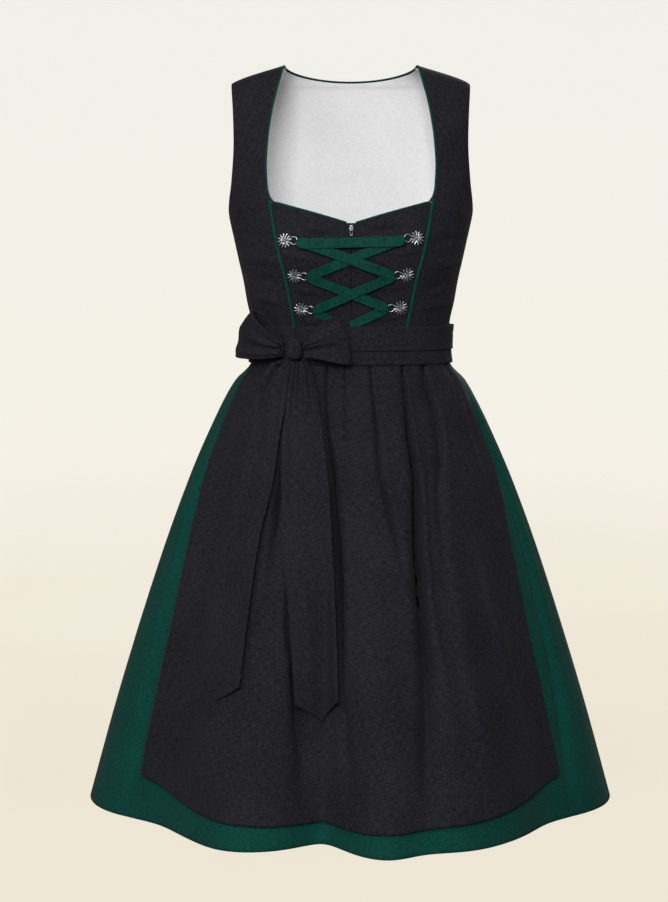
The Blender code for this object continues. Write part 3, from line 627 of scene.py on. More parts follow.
def front_grid():
    """(turns, heights) of the left centre front, from the zip to the princess seam."""
    up = np.linspace(0, 1, FRONT_ROWS)
    seam_z = WAIST_Z + (CORNER_Z - WAIST_Z) * up
    seam_x = follow(PRINCESS_SEAM, seam_z) - SEAM / 2
    middle_z = WAIST_Z + (FRONT_NECK_Z - WAIST_Z) * up
    notch = np.clip((middle_z - ZIP_NOTCH_Z) / (FRONT_NECK_Z - ZIP_NOTCH_Z), 0, 1)
    middle_x = ZIP_HALF_GAP + (ZIP_NOTCH - ZIP_HALF_GAP) * notch
    share = np.linspace(0, 1, FRONT_COLUMNS)
    z = across(middle_z, seam_z, share)
    return across(turn_at(middle_x, middle_z), turn_at(seam_x, seam_z), share), z


def edge_roll(turn, z, edge_turn, depth=0.0007, width=0.0022):
    """How far cloth rolls in beside a seam."""
    aside = np.radians(np.abs(turn - edge_turn)) * girth(turn, z)
    return -depth * bell(aside / width)


def pair(name, turn, z, out, other):
    """A black panel on the wearer's left, and its mirror on the right with its own creases."""
    patch(name + "_left", turn, z, out)
    patch(name + "_right", -turn[:, ::-1], z[:, ::-1], other[:, ::-1])


def front_panels():
    """Centre fronts, from the zip to the princess seams."""
    turn, z = front_grid()
    x = surface(turn, z)[..., 0]
    placket = -0.0010 * bell((x - 0.0048) / 0.0012) - 0.0007 * bell(x / 0.0016)
    roll = edge_roll(turn, z, turn[:, -1:], *SEAM_ROLL) + placket
    out = drags(x, z, FRONT_DRAGS) + roll
    other = drags(x * 0.96 + 0.003, z + 0.006, FRONT_DRAGS) + roll
    pair("bodice_front", turn, z, out, other)


def side_edges():
    """(heights, x) of the inner and the outer edge of a side front, row by row."""
    low = np.linspace(0, 1, SIDE_LOW_ROWS)
    high = 1 - (1 - np.linspace(0, 1, SIDE_HIGH_ROWS)[1:]) ** 2
    inner_z = np.append(WAIST_Z + (CORNER_Z - WAIST_Z) * low,
                        CORNER_Z + (NECK_POINT_Z - CORNER_Z) * high)
    outer_z = np.append(WAIST_Z + (UNDERARM_Z - WAIST_Z) * low,
                        UNDERARM_Z + (SHOULDER_TIP_Z - UNDERARM_Z) * high)
    inner_x = follow(PRINCESS_SEAM + STRAP_EDGE[1:], inner_z)
    return inner_z, inner_x, outer_z, follow(ARMHOLE_EDGE, outer_z)


def outer_turns(z, x, on_back=False):
    """Turns of the edge at the side: the side seam, then the armhole, then the shoulder."""
    turn = turn_at(x, z, on_back)
    turn[:SIDE_LOW_ROWS] = 90.0
    turn[-1] = 90.0
    return turn


def side_fronts():
    """Side fronts with their straps, from the princess seams to the side seams."""
    inner_z, inner_x, outer_z, outer_x = side_edges()
    beside_piping = np.arange(len(inner_x)) < SIDE_LOW_ROWS
    inner = turn_at(inner_x + np.where(beside_piping, SEAM / 2, 0), inner_z)
    outer = outer_turns(outer_z, outer_x)
    seamed = [*range(SIDE_LOW_ROWS), -1]
    outer[seamed] = inset(90.0, outer_z[seamed], -1)
    inner[-1] = outer[-1]
    share = np.linspace(0, 1, SIDE_COLUMNS)
    z, turn = across(inner_z, outer_z, share), across(inner, outer, share)
    x = surface(turn, z)[..., 0]
    roll = edge_roll(turn, z, turn[:, :1], *SEAM_ROLL) * beside_piping[:, None]
    roll = roll + edge_roll(turn, z, turn[:, -1:])
    out = drags(x, z, SIDE_DRAGS) + roll
    other = drags(x * 0.97 + 0.004, z - 0.007, SIDE_DRAGS) + roll
    pair("bodice_side_front", turn, z, out, other)


def back_grid():
    """(turns, heights) of half of the back, from the wearer's left side to the centre back."""
    _, _, arm_z, arm_x = side_edges()
    on_neck = np.linspace(STRAP_SHARE, 1, NECK_COLUMNS)[1:]
    share = np.append(np.linspace(0, STRAP_SHARE, STRAP_COLUMNS), on_neck)
    on_strap = share <= STRAP_SHARE + 1e-9
    along_strap = np.clip(share / STRAP_SHARE, 0, 1)
    along_neck = np.clip((share - STRAP_SHARE) / (1 - STRAP_SHARE), 0, 1)
    top_z = np.where(
        on_strap,
        SHOULDER_TIP_Z + (NECK_POINT_Z - SHOULDER_TIP_Z) * along_strap,
        NECK_POINT_Z + (BACK_NECK_Z - NECK_POINT_Z) * np.sin(along_neck * np.pi / 2) ** 1.5,
    )
    neck_x = surface(90.0, NECK_POINT_Z)[0] * np.cos(along_neck * np.pi / 2)
    top_x = np.where(on_strap, surface(90.0, top_z)[:, 0], neck_x)
    up = np.clip((arm_z - UNDERARM_Z) / (SHOULDER_TIP_Z - UNDERARM_Z), 0, 1)[:, None]
    z = arm_z[:, None] + (top_z - SHOULDER_TIP_Z)[None, :] * up
    side = outer_turns(arm_z, arm_x, on_back=True)
    plain_x = surface(across(side, np.full(len(side), 180.0), share), z)[..., 0]
    x = plain_x + (top_x - plain_x) * up**BACK_PULL
    turn = turn_at(x, z, on_back=True)
    turn[-1, on_strap] = 90.0
    turn[:SIDE_LOW_ROWS, 0] = 90.0
    return np.maximum(turn, inset(np.full(turn.shape, 90.0), z, 1)), z


def mirrored(turn, z):
    """Both halves of a grid that runs from the left side to the centre back."""
    turn = np.concatenate([turn, 360 - turn[:, -2::-1]], axis=1)
    return turn, np.concatenate([z, z[:, -2::-1]], axis=1)


BACK_DRAGS = (  # arc length round the back from the left side, z, and so on
    (0.02, -0.215, 0.10, -0.240, 0.0070, 0.0012),
    (0.03, -0.260, 0.13, -0.275, 0.0065, -0.0012),
    (0.12, -0.300, 0.22, -0.292, 0.0060, 0.0012),
    (0.18, -0.330, 0.28, -0.318, 0.0055, -0.0010),
    (0.20, -0.235, 0.29, -0.215, 0.0080, 0.0012),
    (0.10, -0.120, 0.20, -0.128, 0.0110, -0.0012),
    (0.02, -0.320, 0.12, -0.332, 0.0050, 0.0010),
)


def back_panel():
    """The back in one piece, and its lining, made from the same points moved in."""
    turn, z = mirrored(*back_grid())
    arc = np.radians(turn - 90) * 0.1
    out = drags(arc, z, BACK_DRAGS) + edge_roll(turn, z, turn[:, :1])
    patch("bodice_back", turn, z, out)
    inner = -(LINING + 5 * SEAM) + np.minimum(out[1:], 0)
    patch("bodice_back_lining", turn[1:], z[1:], inner, pale, "pale_lining", LINING)


# --- skirt and apron -------------------------------------------------------------------

SKIRT_ROWS, SKIRT_COLUMNS = 120, 300
APRON_ROWS, APRON_COLUMNS = 170, 280

SKIRT_HANGS = (  # turn, z, turn, z, half widths at top and foot, height
    (-84, -0.44, -79, -0.99, 0.006, 0.018, 0.0015),
    (-72, -0.48, -66, -0.99, 0.006, 0.012, -0.011),
    (84, -0.44, 77, -0.99, 0.006, 0.018, 0.0015),
    (76, -0.44, 65.5, -0.99, 0.006, 0.013, -0.012),
    (100, -0.37, 101, -0.90, 0.005, 0.020, 0.004),
    (110, -0.37, 109, -0.80, 0.004, 0.016, -0.004),
    (128, -0.37, 129, -0.99, 0.004, 0.018, 0.004),
    (148, -0.37, 149, -0.95, 0.005, 0.018, 0.004),
    (167, -0.37, 166, -0.85, 0.004, 0.016, -0.004),
    (186, -0.37, 188, -0.90, 0.005, 0.016, 0.004),
    (204, -0.37, 203, -0.80, 0.004, 0.018, -0.004),
    (224, -0.37, 226, -0.97, 0.005, 0.018, 0.004),
    (245, -0.37, 247, -0.85, 0.004, 0.018, -0.004),
    (262, -0.38, 262, -0.92, 0.005, 0.018, 0.004),
)
TROUGHS = (  # of the apron: height, turn, half widths on its right and left side, depth
    (
        (-0.3880, -19.6, 0.0026, 0.0014, 0.0045),
        (-0.4737, -12.3, 0.0035, 0.0019, 0.0090),
        (-0.5239, -7.9, 0.0044, 0.0032, 0.0180),
        (-0.5864, -5.6, 0.0053, 0.0042, 0.0255),
        (-0.6483, -4.1, 0.0053, 0.0042, 0.0270),
        (-0.7098, -2.9, 0.0053, 0.0037, 0.0225),
        (-0.7708, -2.2, 0.0048, 0.0032, 0.0165),
        (-0.8230, -2.0, 0.0053, 0.0044, 0.0090),
        (-0.9000, 0.0, 0.0079, 0.0079, 0.0037),
        (-0.9500, 0.5, 0.0100, 0.0100, 0.0),
    ),
    (
        (-0.3880, 40.0, 0.0044, 0.0011, 0.0067),
        (-0.4366, 33.9, 0.0057, 0.0014, 0.0135),
        (-0.4744, 31.2, 0.0062, 0.0018, 0.0195),
        (-0.5251, 29.5, 0.0070, 0.0019, 0.0240),
        (-0.5873, 26.3, 0.0088, 0.0023, 0.0300),
        (-0.6488, 23.8, 0.0097, 0.0026, 0.0315),
        (-0.7099, 22.4, 0.0106, 0.0032, 0.0285),
        (-0.7707, 21.5, 0.0106, 0.0062, 0.0225),
        (-0.8308, 19.9, 0.0114, 0.0097, 0.0165),
        (-0.8904, 18.2, 0.0123, 0.0114, 0.0090),
        (-0.9450, 17.2, 0.0150, 0.0150, 0.0),
    ),
    (
        (-0.3880, 15.9, 0.0027, 0.0011, 0.0047),
        (-0.4361, 14.2, 0.0036, 0.0014, 0.0074),
        (-0.4737, 14.2, 0.0054, 0.0020, 0.0088),
        (-0.5241, 13.2, 0.0063, 0.0027, 0.0081),
        (-0.5740, 15.6, 0.0054, 0.0027, 0.0068),
        (-0.6173, 17.0, 0.0054, 0.0036, 0.0041),
        (-0.6700, 17.3, 0.0060, 0.0060, 0.0),
    ),
    (
        (-0.3880, 55.0, 0.0054, 0.0011, 0.0068),
        (-0.4311, 49.0, 0.0099, 0.0014, 0.0149),
        (-0.4629, 47.4, 0.0090, 0.0022, 0.0108),
        (-0.5015, 44.1, 0.0081, 0.0036, 0.0068),
        (-0.5637, 36.5, 0.0072, 0.0045, 0.0068),
        (-0.6132, 33.0, 0.0081, 0.0072, 0.0054),
        (-0.7000, 31.0, 0.0090, 0.0090, 0.0),
    ),
    (
        (-0.4200, -38.5, 0.0026, 0.0035, 0.0060),
        (-0.4746, -33.2, 0.0044, 0.0044, 0.0135),
        (-0.5254, -31.5, 0.0044, 0.0053, 0.0195),
        (-0.5693, -30.4, 0.0044, 0.0053, 0.0195),
        (-0.6128, -29.0, 0.0044, 0.0053, 0.0120),
        (-0.6562, -28.5, 0.0044, 0.0062, 0.0045),
        (-0.7200, -29.5, 0.0060, 0.0060, 0.0),
    ),
    (
        (-0.6200, -22.0, 0.0030, 0.0050, 0.0),
        (-0.6854, -20.8, 0.0026, 0.0044, 0.0075),
        (-0.7343, -19.0, 0.0031, 0.0053, 0.0150),
        (-0.7711, -17.2, 0.0040, 0.0070, 0.0225),
        (-0.8081, -15.8, 0.0053, 0.0079, 0.0240),
        (-0.8392, -14.5, 0.0070, 0.0079, 0.0180),
        (-0.8950, -13.5, 0.0097, 0.0097, 0.0075),
        (-0.9500, -13.0, 0.0120, 0.0120, 0.0),
    ),
    (
        (-0.3880, -5.2, 0.0020, 0.0012, 0.0020),
        (-0.4610, -2.9, 0.0030, 0.0020, 0.0025),
        (-0.5612, 0.4, 0.0040, 0.0040, 0.0),
    ),
    (
        (-0.3880, 73.0, 0.0050, 0.0015, 0.0030),
        (-0.4400, 66.0, 0.0060, 0.0030, 0.0050),
        (-0.5000, 62.0, 0.0060, 0.0050, 0.0030),
        (-0.5600, 60.0, 0.0060, 0.0060, 0.0),
    ),
    (
        (-0.3880, -58.0, 0.0030, 0.0015, 0.0030),
        (-0.4500, -53.0, 0.0050, 0.0030, 0.0040),
        (-0.5500, -50.0, 0.0050, 0.0050, 0.0),
    ),
)
APRON_HANGS = (
    (-64, -0.55, -60, -0.96, 0.012, 0.020, 0.0040),
    (-52, -0.50, -50, -0.93, 0.010, 0.018, -0.0024),
    (-38, -0.55, -40, -0.96, 0.010, 0.022, 0.0040),
    (-20, -0.60, -22, -0.96, 0.010, 0.018, 0.0038),
    (3, -0.45, 2, -0.90, 0.008, 0.016, 0.0030),
    (20, -0.66, 18, -0.96, 0.012, 0.022, -0.0030),
    (32, -0.58, 34, -0.96, 0.012, 0.022, 0.0055),
    (47, -0.62, 50, -0.96, 0.010, 0.020, 0.0042),
    (59, -0.55, 58, -0.92, 0.008, 0.014, -0.0024),
)


def skirt():
    """Skirt front and back, joined at the side seams."""
    z = np.linspace(HEM_Z, WAIST_Z - 2 * SEAM, SKIRT_ROWS)
    share = np.linspace(0, 1, SKIRT_COLUMNS)
    front = across(inset(-90.0, z, 1), inset(90.0, z, -1), share)
    left = inset(90.0, z, 1)
    back = across(left, 360 - left, share)
    edge = follow(APRON_EDGE, z)[:, None]
    shown = ramp(np.abs(front), edge - 12, edge - 3)
    waist = ramp(z, BAND_LOW_Z - 0.03, BAND_LOW_Z)[:, None]
    for name, turn, free in (("skirt_front", front, shown), ("skirt_back", back, 1.0)):
        out = hangs(turn, z[:, None], SKIRT_HANGS) * free * (1 - waist)
        out = out + edge_roll(turn, z[:, None], turn[:, :1], 0.0009, 0.004)
        out = out + (troughs(turn, z[:, None], 2.2) if name == "skirt_front" else 0)
        patch(name, turn, z[:, None], out, green, "green_cotton")


def troughs(turn, z, wider=1.0):
    """The apron's pleats, which open lower down: deep troughs with one steep side.

    Each follows a table of heights. Its section is half of a wide bell on the wearer's right
    and half of a narrow one on the left, with a low ridge past that.
    """
    height, far = np.zeros(np.broadcast(turn, z).shape), girth(turn, z)
    for rows in TROUGHS:
        line, right, left, depth = (follow(rows, z, column) for column in (1, 2, 3, 4))
        aside = np.radians(turn - line + 0.2 * waver(z * 40, rows[0][1])) * far
        width = np.where(aside < 0, right, left) * wider
        ridge = ramp(aside, 0, width) * bell((aside - 2.8 * width) / (1.6 * width))
        height = height + depth * (0.15 * ridge * (wider == 1.0) - bell(aside / width))
    return height


def apron_out(turn, z):
    """How far the apron's inner face is from the form, with its pleats and hanging folds."""
    hanging = np.clip((BAND_LOW_Z - z) / (BAND_LOW_Z - APRON_HEM_Z), 0, 1)
    soft = np.maximum(hangs(turn, z, APRON_HANGS), -0.6 * APRON_AIR * hanging)
    return APRON_OUT + APRON_AIR * hanging + soft + troughs(turn, z)


def apron():
    """The apron: pleated into its band, and lying on the skirt with a little air below."""
    up = np.linspace(0, 1, APRON_ROWS)[:, None]
    side = np.linspace(-1, 1, APRON_COLUMNS)[None, :]
    hem = APRON_HEM_Z + APRON_CORNER_RISE * np.abs(side) ** 2.5
    z = hem + (APRON_TOP_Z - hem) * up
    turn = follow(APRON_EDGE, z) * side
    patch("apron", turn, z, apron_out(turn, z))


# --- waistband, tie and bow ------------------------------------------------------------

BAND_DRAGS = (  # arc length from the centre front, z, and so on
    (-0.02, -0.3655, 0.19, -0.3672, 0.0016, -0.0016),
    (0.00, -0.3520, 0.12, -0.3590, 0.0022, 0.0010),
    (-0.01, -0.3800, 0.09, -0.3790, 0.0020, 0.0010),
    (0.05, -0.3850, 0.15, -0.3810, 0.0022, -0.0008),
    (-0.19, -0.3700, -0.12, -0.3690, 0.0018, -0.0010),
)
TIE_DRAGS = (
    (0.01, -0.3610, 0.10, -0.3500, 0.0016, -0.0010),
    (0.00, -0.3640, 0.13, -0.3600, 0.0018, 0.0011),
    (0.02, -0.3560, 0.07, -0.3460, 0.0016, 0.0009),
    (0.15, -0.3480, 0.34, -0.3550, 0.0022, -0.0012),
    (0.22, -0.3620, 0.42, -0.3560, 0.0020, 0.0012),
    (0.30, -0.3450, 0.52, -0.3500, 0.0022, -0.0011),
    (0.45, -0.3640, 0.64, -0.3560, 0.0020, 0.0011),
    (0.55, -0.3480, 0.72, -0.3520, 0.0020, -0.0010),
)
KNOT_TURN = float(turn_at(KNOT_X, KNOT_Z))


def bands():
    """The apron's waistband, and the tie that is wound once round over it."""
    half = APRON_EDGE[0][1]
    z = np.linspace(BAND_LOW_Z, BAND_TOP_Z - BAND_LEDGE, 30)[:, None]
    turn = np.linspace(-half, half, 150)[None, :]
    arc = np.radians(turn) * 0.13
    sewn = -0.0006 * bell((z - BAND_LOW_Z) / 0.0012)
    out = BAND_OUT + np.minimum(drags(arc, z, BAND_DRAGS), 0.0008) + sewn
    patch("apron_waistband", turn, z, out)
    z = np.linspace(TIE_LOW_Z, BAND_TOP_Z, 26)[:, None]
    turn = np.linspace(KNOT_TURN + 1.0, KNOT_TURN + 359.0, 400)[None, :]
    arc = np.radians(turn) * 0.13
    out = TIE_OUT + np.maximum(drags(arc, z, TIE_DRAGS), -0.0003)
    patch("tie_round_waist", turn, z, out)


def bow_loop(name, rows, far_turns, seed):
    """A loop of the bow: a strip that leaves the knot, turns back at its end and returns."""
    side = np.sign(far_turns[1] - KNOT_TURN)
    near = KNOT_TURN + side * KNOT_HALF_TURN
    round_it = np.linspace(0.0, 1.0, 110)
    away = np.sin(np.pi * round_it) ** 0.8
    front = np.cos(np.pi * round_it) * (LOOP_MOUTH + (1 - LOOP_MOUTH) * away**0.5)
    share = np.linspace(0, 1, 44)
    sag = 0.0085 * ramp(np.cos(np.pi * round_it), 0.0, 0.5) * np.sin(np.pi * away)
    z = across(follow(rows, away, 2), follow(rows, away, 1) - sag, share)
    far = far_turns[1] + (far_turns[0] - far_turns[1]) * share**2.2
    turn = near + (far[None, :] - near) * away[:, None]
    out = TIE_OUT + CLOTH + SEAM + LOOP_DEEP * (1 + front) + CLOTH
    gather = (1 - away[:, None]) ** 1.1 * waver(share[None, :] * 14, seed, 2)
    long_folds = bell((away[:, None] - 0.5) / 0.5) * waver(share[None, :] * 7, seed + 3, 2)
    face = np.where(front > 0, 1.0, 0.25)[:, None]
    out = out[:, None] + face * (0.0044 * gather + 0.0022 * long_folds)
    points = layer(turn, z, out).transpose(1, 0, 2)
    points = points if side < 0 else points[:, ::-1]
    wall(name, points, CLOTH, black, "black_weave", offset=0.0)


def flatter(x, power):
    """A signed power of x, which flattens a sine towards 1 and -1."""
    return np.sign(x) * np.abs(x) ** power


def sphere_angles(rows, columns):
    """Angles of a sphere's rows, from pole to pole, and of its columns."""
    rise = np.linspace(-0.5, 0.5, rows)[:, None] * np.pi
    return rise, np.linspace(0, 2 * np.pi, columns, endpoint=False)[None, :]


def capped(verts):
    """(points, faces) of a grid of rings whose first and last rows are each one point."""
    rows, columns = verts.shape[:2]
    inner = verts[1:-1].reshape(-1, 3)
    low, high, start = len(inner), len(inner) + 1, len(inner) - columns
    faces = grid_faces(rows - 2, columns, closed=True).tolist()
    faces += [[low, (i + 1) % columns, i] for i in range(columns)]
    faces += [[high, start + i, start + (i + 1) % columns] for i in range(columns)]
    return np.concatenate([inner, verts[0, :1], verts[-1, :1]]), faces


def rounded_block(centre, size, rows=14, columns=24, power=0.28):
    """(points, faces) of a block with soft edges: a sphere whose sines are flattened."""
    rise, round_it = sphere_angles(rows, columns)
    wide = flatter(np.cos(rise), power)
    x, y = wide * flatter(np.cos(round_it), power), wide * flatter(np.sin(round_it), power)
    verts = np.stack([x, y, flatter(np.sin(rise), power) + 0 * round_it], axis=-1)
    verts[0], verts[-1] = (0, 0, -1), (0, 0, 1)
    points, faces = capped(verts)
    return points * np.array(size) / 2 + np.array(centre), faces


def knot():
    """The knot: a rounded block by a power rule, with the folds of the strip round it."""
    out = normal(KNOT_TURN, KNOT_Z) * (1, 1, 0)
    out = out / np.linalg.norm(out)
    centre = layer(KNOT_TURN, KNOT_Z, TIE_OUT + 2 * CLOTH + SEAM) + out * KNOT_D / 2
    rise, round_it = sphere_angles(48, 72)
    across_it = flatter(np.cos(rise), 0.7) * flatter(np.sin(round_it), 0.9)
    deep = flatter(np.cos(rise), 0.7) * flatter(np.cos(round_it), 0.9)
    high = flatter(np.sin(rise), 0.7) + 0 * round_it
    folds = 0.20 * waver(across_it * 9 + 0.9 * high, 4, 2) * (1 - high**4)
    waist = 1 - 0.10 * bell((high - 0.1) / 0.5)
    aside = np.cross(out, (0, 0, -1.0))
    verts = (
        centre
        + aside * (across_it * KNOT_W / 2 * waist)[..., None]
        + out * (deep * KNOT_D / 2 * (1 + folds))[..., None]
        + np.array([0, 0, 1.0]) * (high * KNOT_H / 2)[..., None]
    )
    points, faces = capped(verts)
    obj = new_piece("bow_knot", points, faces, black, nodes=("bow_knot",), slot="black_weave")
    local = points - centre
    threads_of(obj, local[:, 2], local @ aside)


TAIL_FOLDS = (  # share of the width, where they run to; half width, height
    (0.16, 0.10, 0.10, 0.0022),
    (0.42, 0.40, 0.12, -0.0016),
    (0.68, 0.74, 0.11, 0.0026),
    (0.90, 0.95, 0.07, -0.0012),
)


def tail(name, edges, ends, flip):
    """A hanging end of the tie, cut to a point: ends holds the heights of its lower edge."""
    down = np.linspace(1, 0, 170)[:, None]
    share = np.linspace(0, 1, 44)
    low = np.interp(share, [0, 0.5, 1], ends)
    z = edges[0][0] + (low[None, :] - edges[0][0]) * down
    first, last = follow(edges, z, 1), follow(edges, z, 2)
    turn = turn_at(first + (last - first) * share, z)
    out = np.zeros(z.shape)
    across_it = 1 - share[None, :] if flip else share[None, :]
    for start, end, half_width, height in TAIL_FOLDS:
        line = start + (end - start) * down + 0.03 * waver(down * 6, start * 9)
        out = out + height * (1 - 0.65 * down) * bell((across_it - line) / half_width)
    gather = 0.0060 * bell(down / 0.17) * waver(share[None, :] * 19, 5 + flip, 2)
    sway = 0.0016 * waver(down * 5, 2 + flip, 2) * down
    free = bell((1 - share[None, :]) / 0.14) * ramp(down, 0.03, 0.3)
    out = TAIL_OUT + np.clip(out + gather + sway + 0.0016 * (1 - down) + 0.005 * free, 0, None)
    out = np.maximum(out, apron_out(turn, z) + CLOTH + 0.0010 + 0.004 * free)
    patch(name, turn, z, out)


# --- piping, zip, hooks and lacing -----------------------------------------------------


def beside(turn, z):
    """Middle of a cord that lies along an edge, on the left of the way that it runs."""
    edge = layer(turn, z, CLOTH / 2)
    out = normal(turn, z)
    side = np.cross(out[:-1] + out[1:], np.diff(edge, axis=0))
    side = side / np.linalg.norm(side, axis=1, keepdims=True)
    before, after = side[[0, *range(len(side))]], side[[*range(len(side)), -1]]
    mitre = (before + after) / (1 + np.sum(before * after, axis=1, keepdims=True))
    return edge + mitre * PIPING_OVER_EDGE


def piping(name, path, thick):
    """A covered cord of a radius: its skin twists a little round the cord inside."""
    steps = np.linalg.norm(np.diff(path, axis=0), axis=1)
    run = np.concatenate([[0], np.cumsum(steps)])
    sides = 10
    radius = thick * (1 + 0.04 * waver(run * 700, 3, 2))
    obj = new_piece(name, *tube(path, radius, sides), green, nodes=(name,), slot="green_cotton")
    around = np.tile(np.arange(sides) / sides * 2 * np.pi * thick, len(path))
    threads_of(obj, np.repeat(run, sides), around)


def pipings():
    """Cords set in the princess seams and round the neck."""
    mirror = np.array([-1, 1, 1])
    seam_z = np.linspace(WAIST_Z, CORNER_Z + 0.0030, 130)
    seam = layer(turn_at(follow(PRINCESS_SEAM, seam_z), seam_z), seam_z, CLOTH + 0.0004)
    inner_z, inner_x, _, _ = side_edges()
    front_turn, front_z = front_grid()
    strap_z, strap_x = inner_z[SIDE_LOW_ROWS:-1], inner_x[SIDE_LOW_ROWS:-1]
    edge_turn = np.append(front_turn[-1, :-1], turn_at(strap_x, strap_z))
    neck = beside(edge_turn, np.append(front_z[-1, :-1], strap_z))
    for side, flip in (("left", 1), ("right", mirror)):
        piping(f"piping_seam_{side}", seam * flip, SEAM_PIPING)
        piping(f"piping_neck_{side}", neck * flip, NECK_PIPING)
    turn, z = back_grid()
    half = beside(turn[-1, STRAP_COLUMNS - 1 :], z[-1, STRAP_COLUMNS - 1 :])
    half[-1, 0] = 0.0
    piping("piping_neck_back", np.concatenate([half, half[-2::-1] * mirror]), BACK_NECK_PIPING)


TOOTH_PITCH = 0.0022


def zip_parts():
    """Zip tape with its two rows of teeth, the slider, and the pull tab that swings on it."""
    z = np.linspace(WAIST_Z + 0.002, FRONT_NECK_Z + 0.0012, 60)[:, None]
    turn = turn_at(np.linspace(-ZIP_TAPE_HALF, ZIP_TAPE_HALF, 16) + 0 * z, z)
    patch("zip_tape", turn, z, ZIP_TAPE_OUT, tape_black, "zip_tape", LINING)
    heights = np.arange(BAND_TOP_Z, ZIP_NOTCH_Z - 0.008, TOOTH_PITCH)
    teeth = []
    for side in (-1, 1):
        at_z = heights + side * TOOTH_PITCH / 4
        seat = layer(turn_at(0 * at_z, at_z), at_z, ZIP_TAPE_OUT + LINING + 0.0007)
        for place in seat + np.array([side * 0.0011, 0, 0]):
            teeth.append(rounded_block(place, (0.0020, 0.0013, 0.0011), 5, 8, 0.4))
    new_piece("zip_teeth", *together(teeth), nickel, slot="silver_metal")
    low, high = (np.array(corner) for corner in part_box("zip_slider"))
    middle, size = (low + high) / 2, high - low
    front = middle - np.array([0, size[1] / 2, 0])
    bridge_z = np.linspace(-0.5, 0.5, 20) * size[2] * 0.72
    bridge = np.stack(
        [0 * bridge_z, -0.0011 * np.cos(np.pi * bridge_z / size[2]) + 0.0009, bridge_z], axis=1
    )
    body = [
        rounded_block(middle + (0, size[1] * 0.18, 0), size * (1, 0.60, 1), 16, 32, 0.45),
        rounded_block(middle + (0, 0, size[2] * 0.28), size * (0.8, 0.9, 0.34), 12, 24, 0.5),
        tube(front + bridge + (0, 0.0004, 0), 0.0005, 8),
    ]
    new_piece("zip_slider", *together(body), nickel, nodes=("zip_slider",), slot="silver_metal")
    pull_tab()


def pull_tab():
    """The tab: a flat plate with a rounded foot, a raised rim and a slot cut through it."""
    low, high = (np.array(corner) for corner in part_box("zip_pull_tab"))
    middle, size = (low + high) / 2, high - low
    around = np.linspace(0, 2 * np.pi, 64, endpoint=False)

    def oval(half_width, half_height, power, drop=0.0):
        cos, sin = np.cos(around), np.sin(around)
        x = np.sign(cos) * np.abs(cos) ** power * half_width
        z = np.sign(sin) * np.abs(sin) ** power * half_height
        return x * (1 - 0.16 * z / half_height), z + drop

    half_w, half_h, half_t = size[0] / 2 / 1.16, size[2] / 2, size[1] / 2
    rim = 0.0003
    rings = (  # half width, half height, depth: round the section of the plate's frame
        (half_w, half_h, -half_t + rim),
        (half_w - rim, half_h - rim, -half_t),
        (half_w * 0.62, half_h * 0.70, -half_t),
        (half_w * 0.52, half_h * 0.64, -half_t + rim),
        (half_w * 0.52, half_h * 0.64, half_t - rim),
        (half_w * 0.62, half_h * 0.70, half_t),
        (half_w - rim, half_h - rim, half_t),
        (half_w, half_h, half_t - rim),
    )
    verts = []
    for wide, tall, depth in rings:
        x, z = oval(wide, tall, 0.55)
        verts.append(np.stack([x, 0 * x + depth, z], axis=1))
    verts = np.stack([*verts, verts[0]]) + middle
    faces = grid_faces(len(rings) + 1, 64, closed=True)
    faces = np.where(faces >= len(rings) * 64, faces - len(rings) * 64, faces)
    new_piece("zip_pull_tab", verts[:-1].reshape(-1, 3), faces.tolist(), nickel, "pull_tab",
              ("zip_pull_tab",), "silver_metal")


def petals(count, near, far, width, thick, lift, phase):
    """Petals of a flower, each a long flat drop that points out from the middle."""
    made = []
    for angle in np.radians(phase + np.arange(count) * 360 / count):
        size = (far - near, width, thick)
        verts, faces = rounded_block(((near + far) / 2, 0, lift), size, 8, 12, 0.85)
        cos, sin = math.cos(angle), math.sin(angle)
        made.append((verts @ np.array([[cos, sin, 0], [-sin, cos, 0], [0, 0, 1]]), faces))
    return made


def hook(name, x, z):
    """A cast flower of two rings of petals with a cluster of beads, and its open loop."""
    beads = [rounded_block((0, 0, 0.0012), [0.0016] * 3, 8, 12, 1.0)]
    for angle in np.radians(np.arange(0, 360, 60)):
        place = (0.0019 * math.cos(angle), 0.0019 * math.sin(angle), 0.0015)
        beads.append(rounded_block(place, [0.0013] * 3, 8, 12, 1.0))
    arc = np.radians(np.linspace(-150, 150, 40))
    round_loop = LOOP_REACH - LOOP_HALF + LOOP_HALF * np.cos(arc)
    along = np.concatenate([[0.0045, 0.0065], round_loop, [0.0065, 0.0045]])
    up = np.concatenate([[-0.0024, -0.0024], LOOP_HALF * np.sin(arc), [0.0024, 0.0024]])
    wire = np.stack([along, up, 0 * along], axis=1)
    body = [
        rounded_block((0, 0, -0.0009), (0.0070, 0.0070, 0.0008), 8, 24, 0.8),
        *petals(PETALS, 0.0024, FLOWER_R, 0.0021, 0.0014, 0.0, 9.0),
        *petals(PETALS - 5, 0.0022, FLOWER_R * 0.62, 0.0015, 0.0011, 0.0010, 25.0),
        *beads,
        tube(wire, LOOP_WIRE_D / 2, 10),
    ]
    verts, faces = together(body)
    place = layer(turn_at(x, z), z, HOOK_OUT + FLOWER_T / 2)
    tip = layer(turn_at(x - math.copysign(LOOP_REACH, x), z), z, HOOK_OUT + FLOWER_T / 2)
    inward = (tip - place) / np.linalg.norm(tip - place)
    out = normal(turn_at(x, z), z)
    out = out - inward * (out @ inward)
    out = out / np.linalg.norm(out)
    turned = np.stack([inward, np.cross(out, inward), out])
    new_piece(name, verts @ turned + place, faces, silver, nodes=(name,), slot="silver_metal")


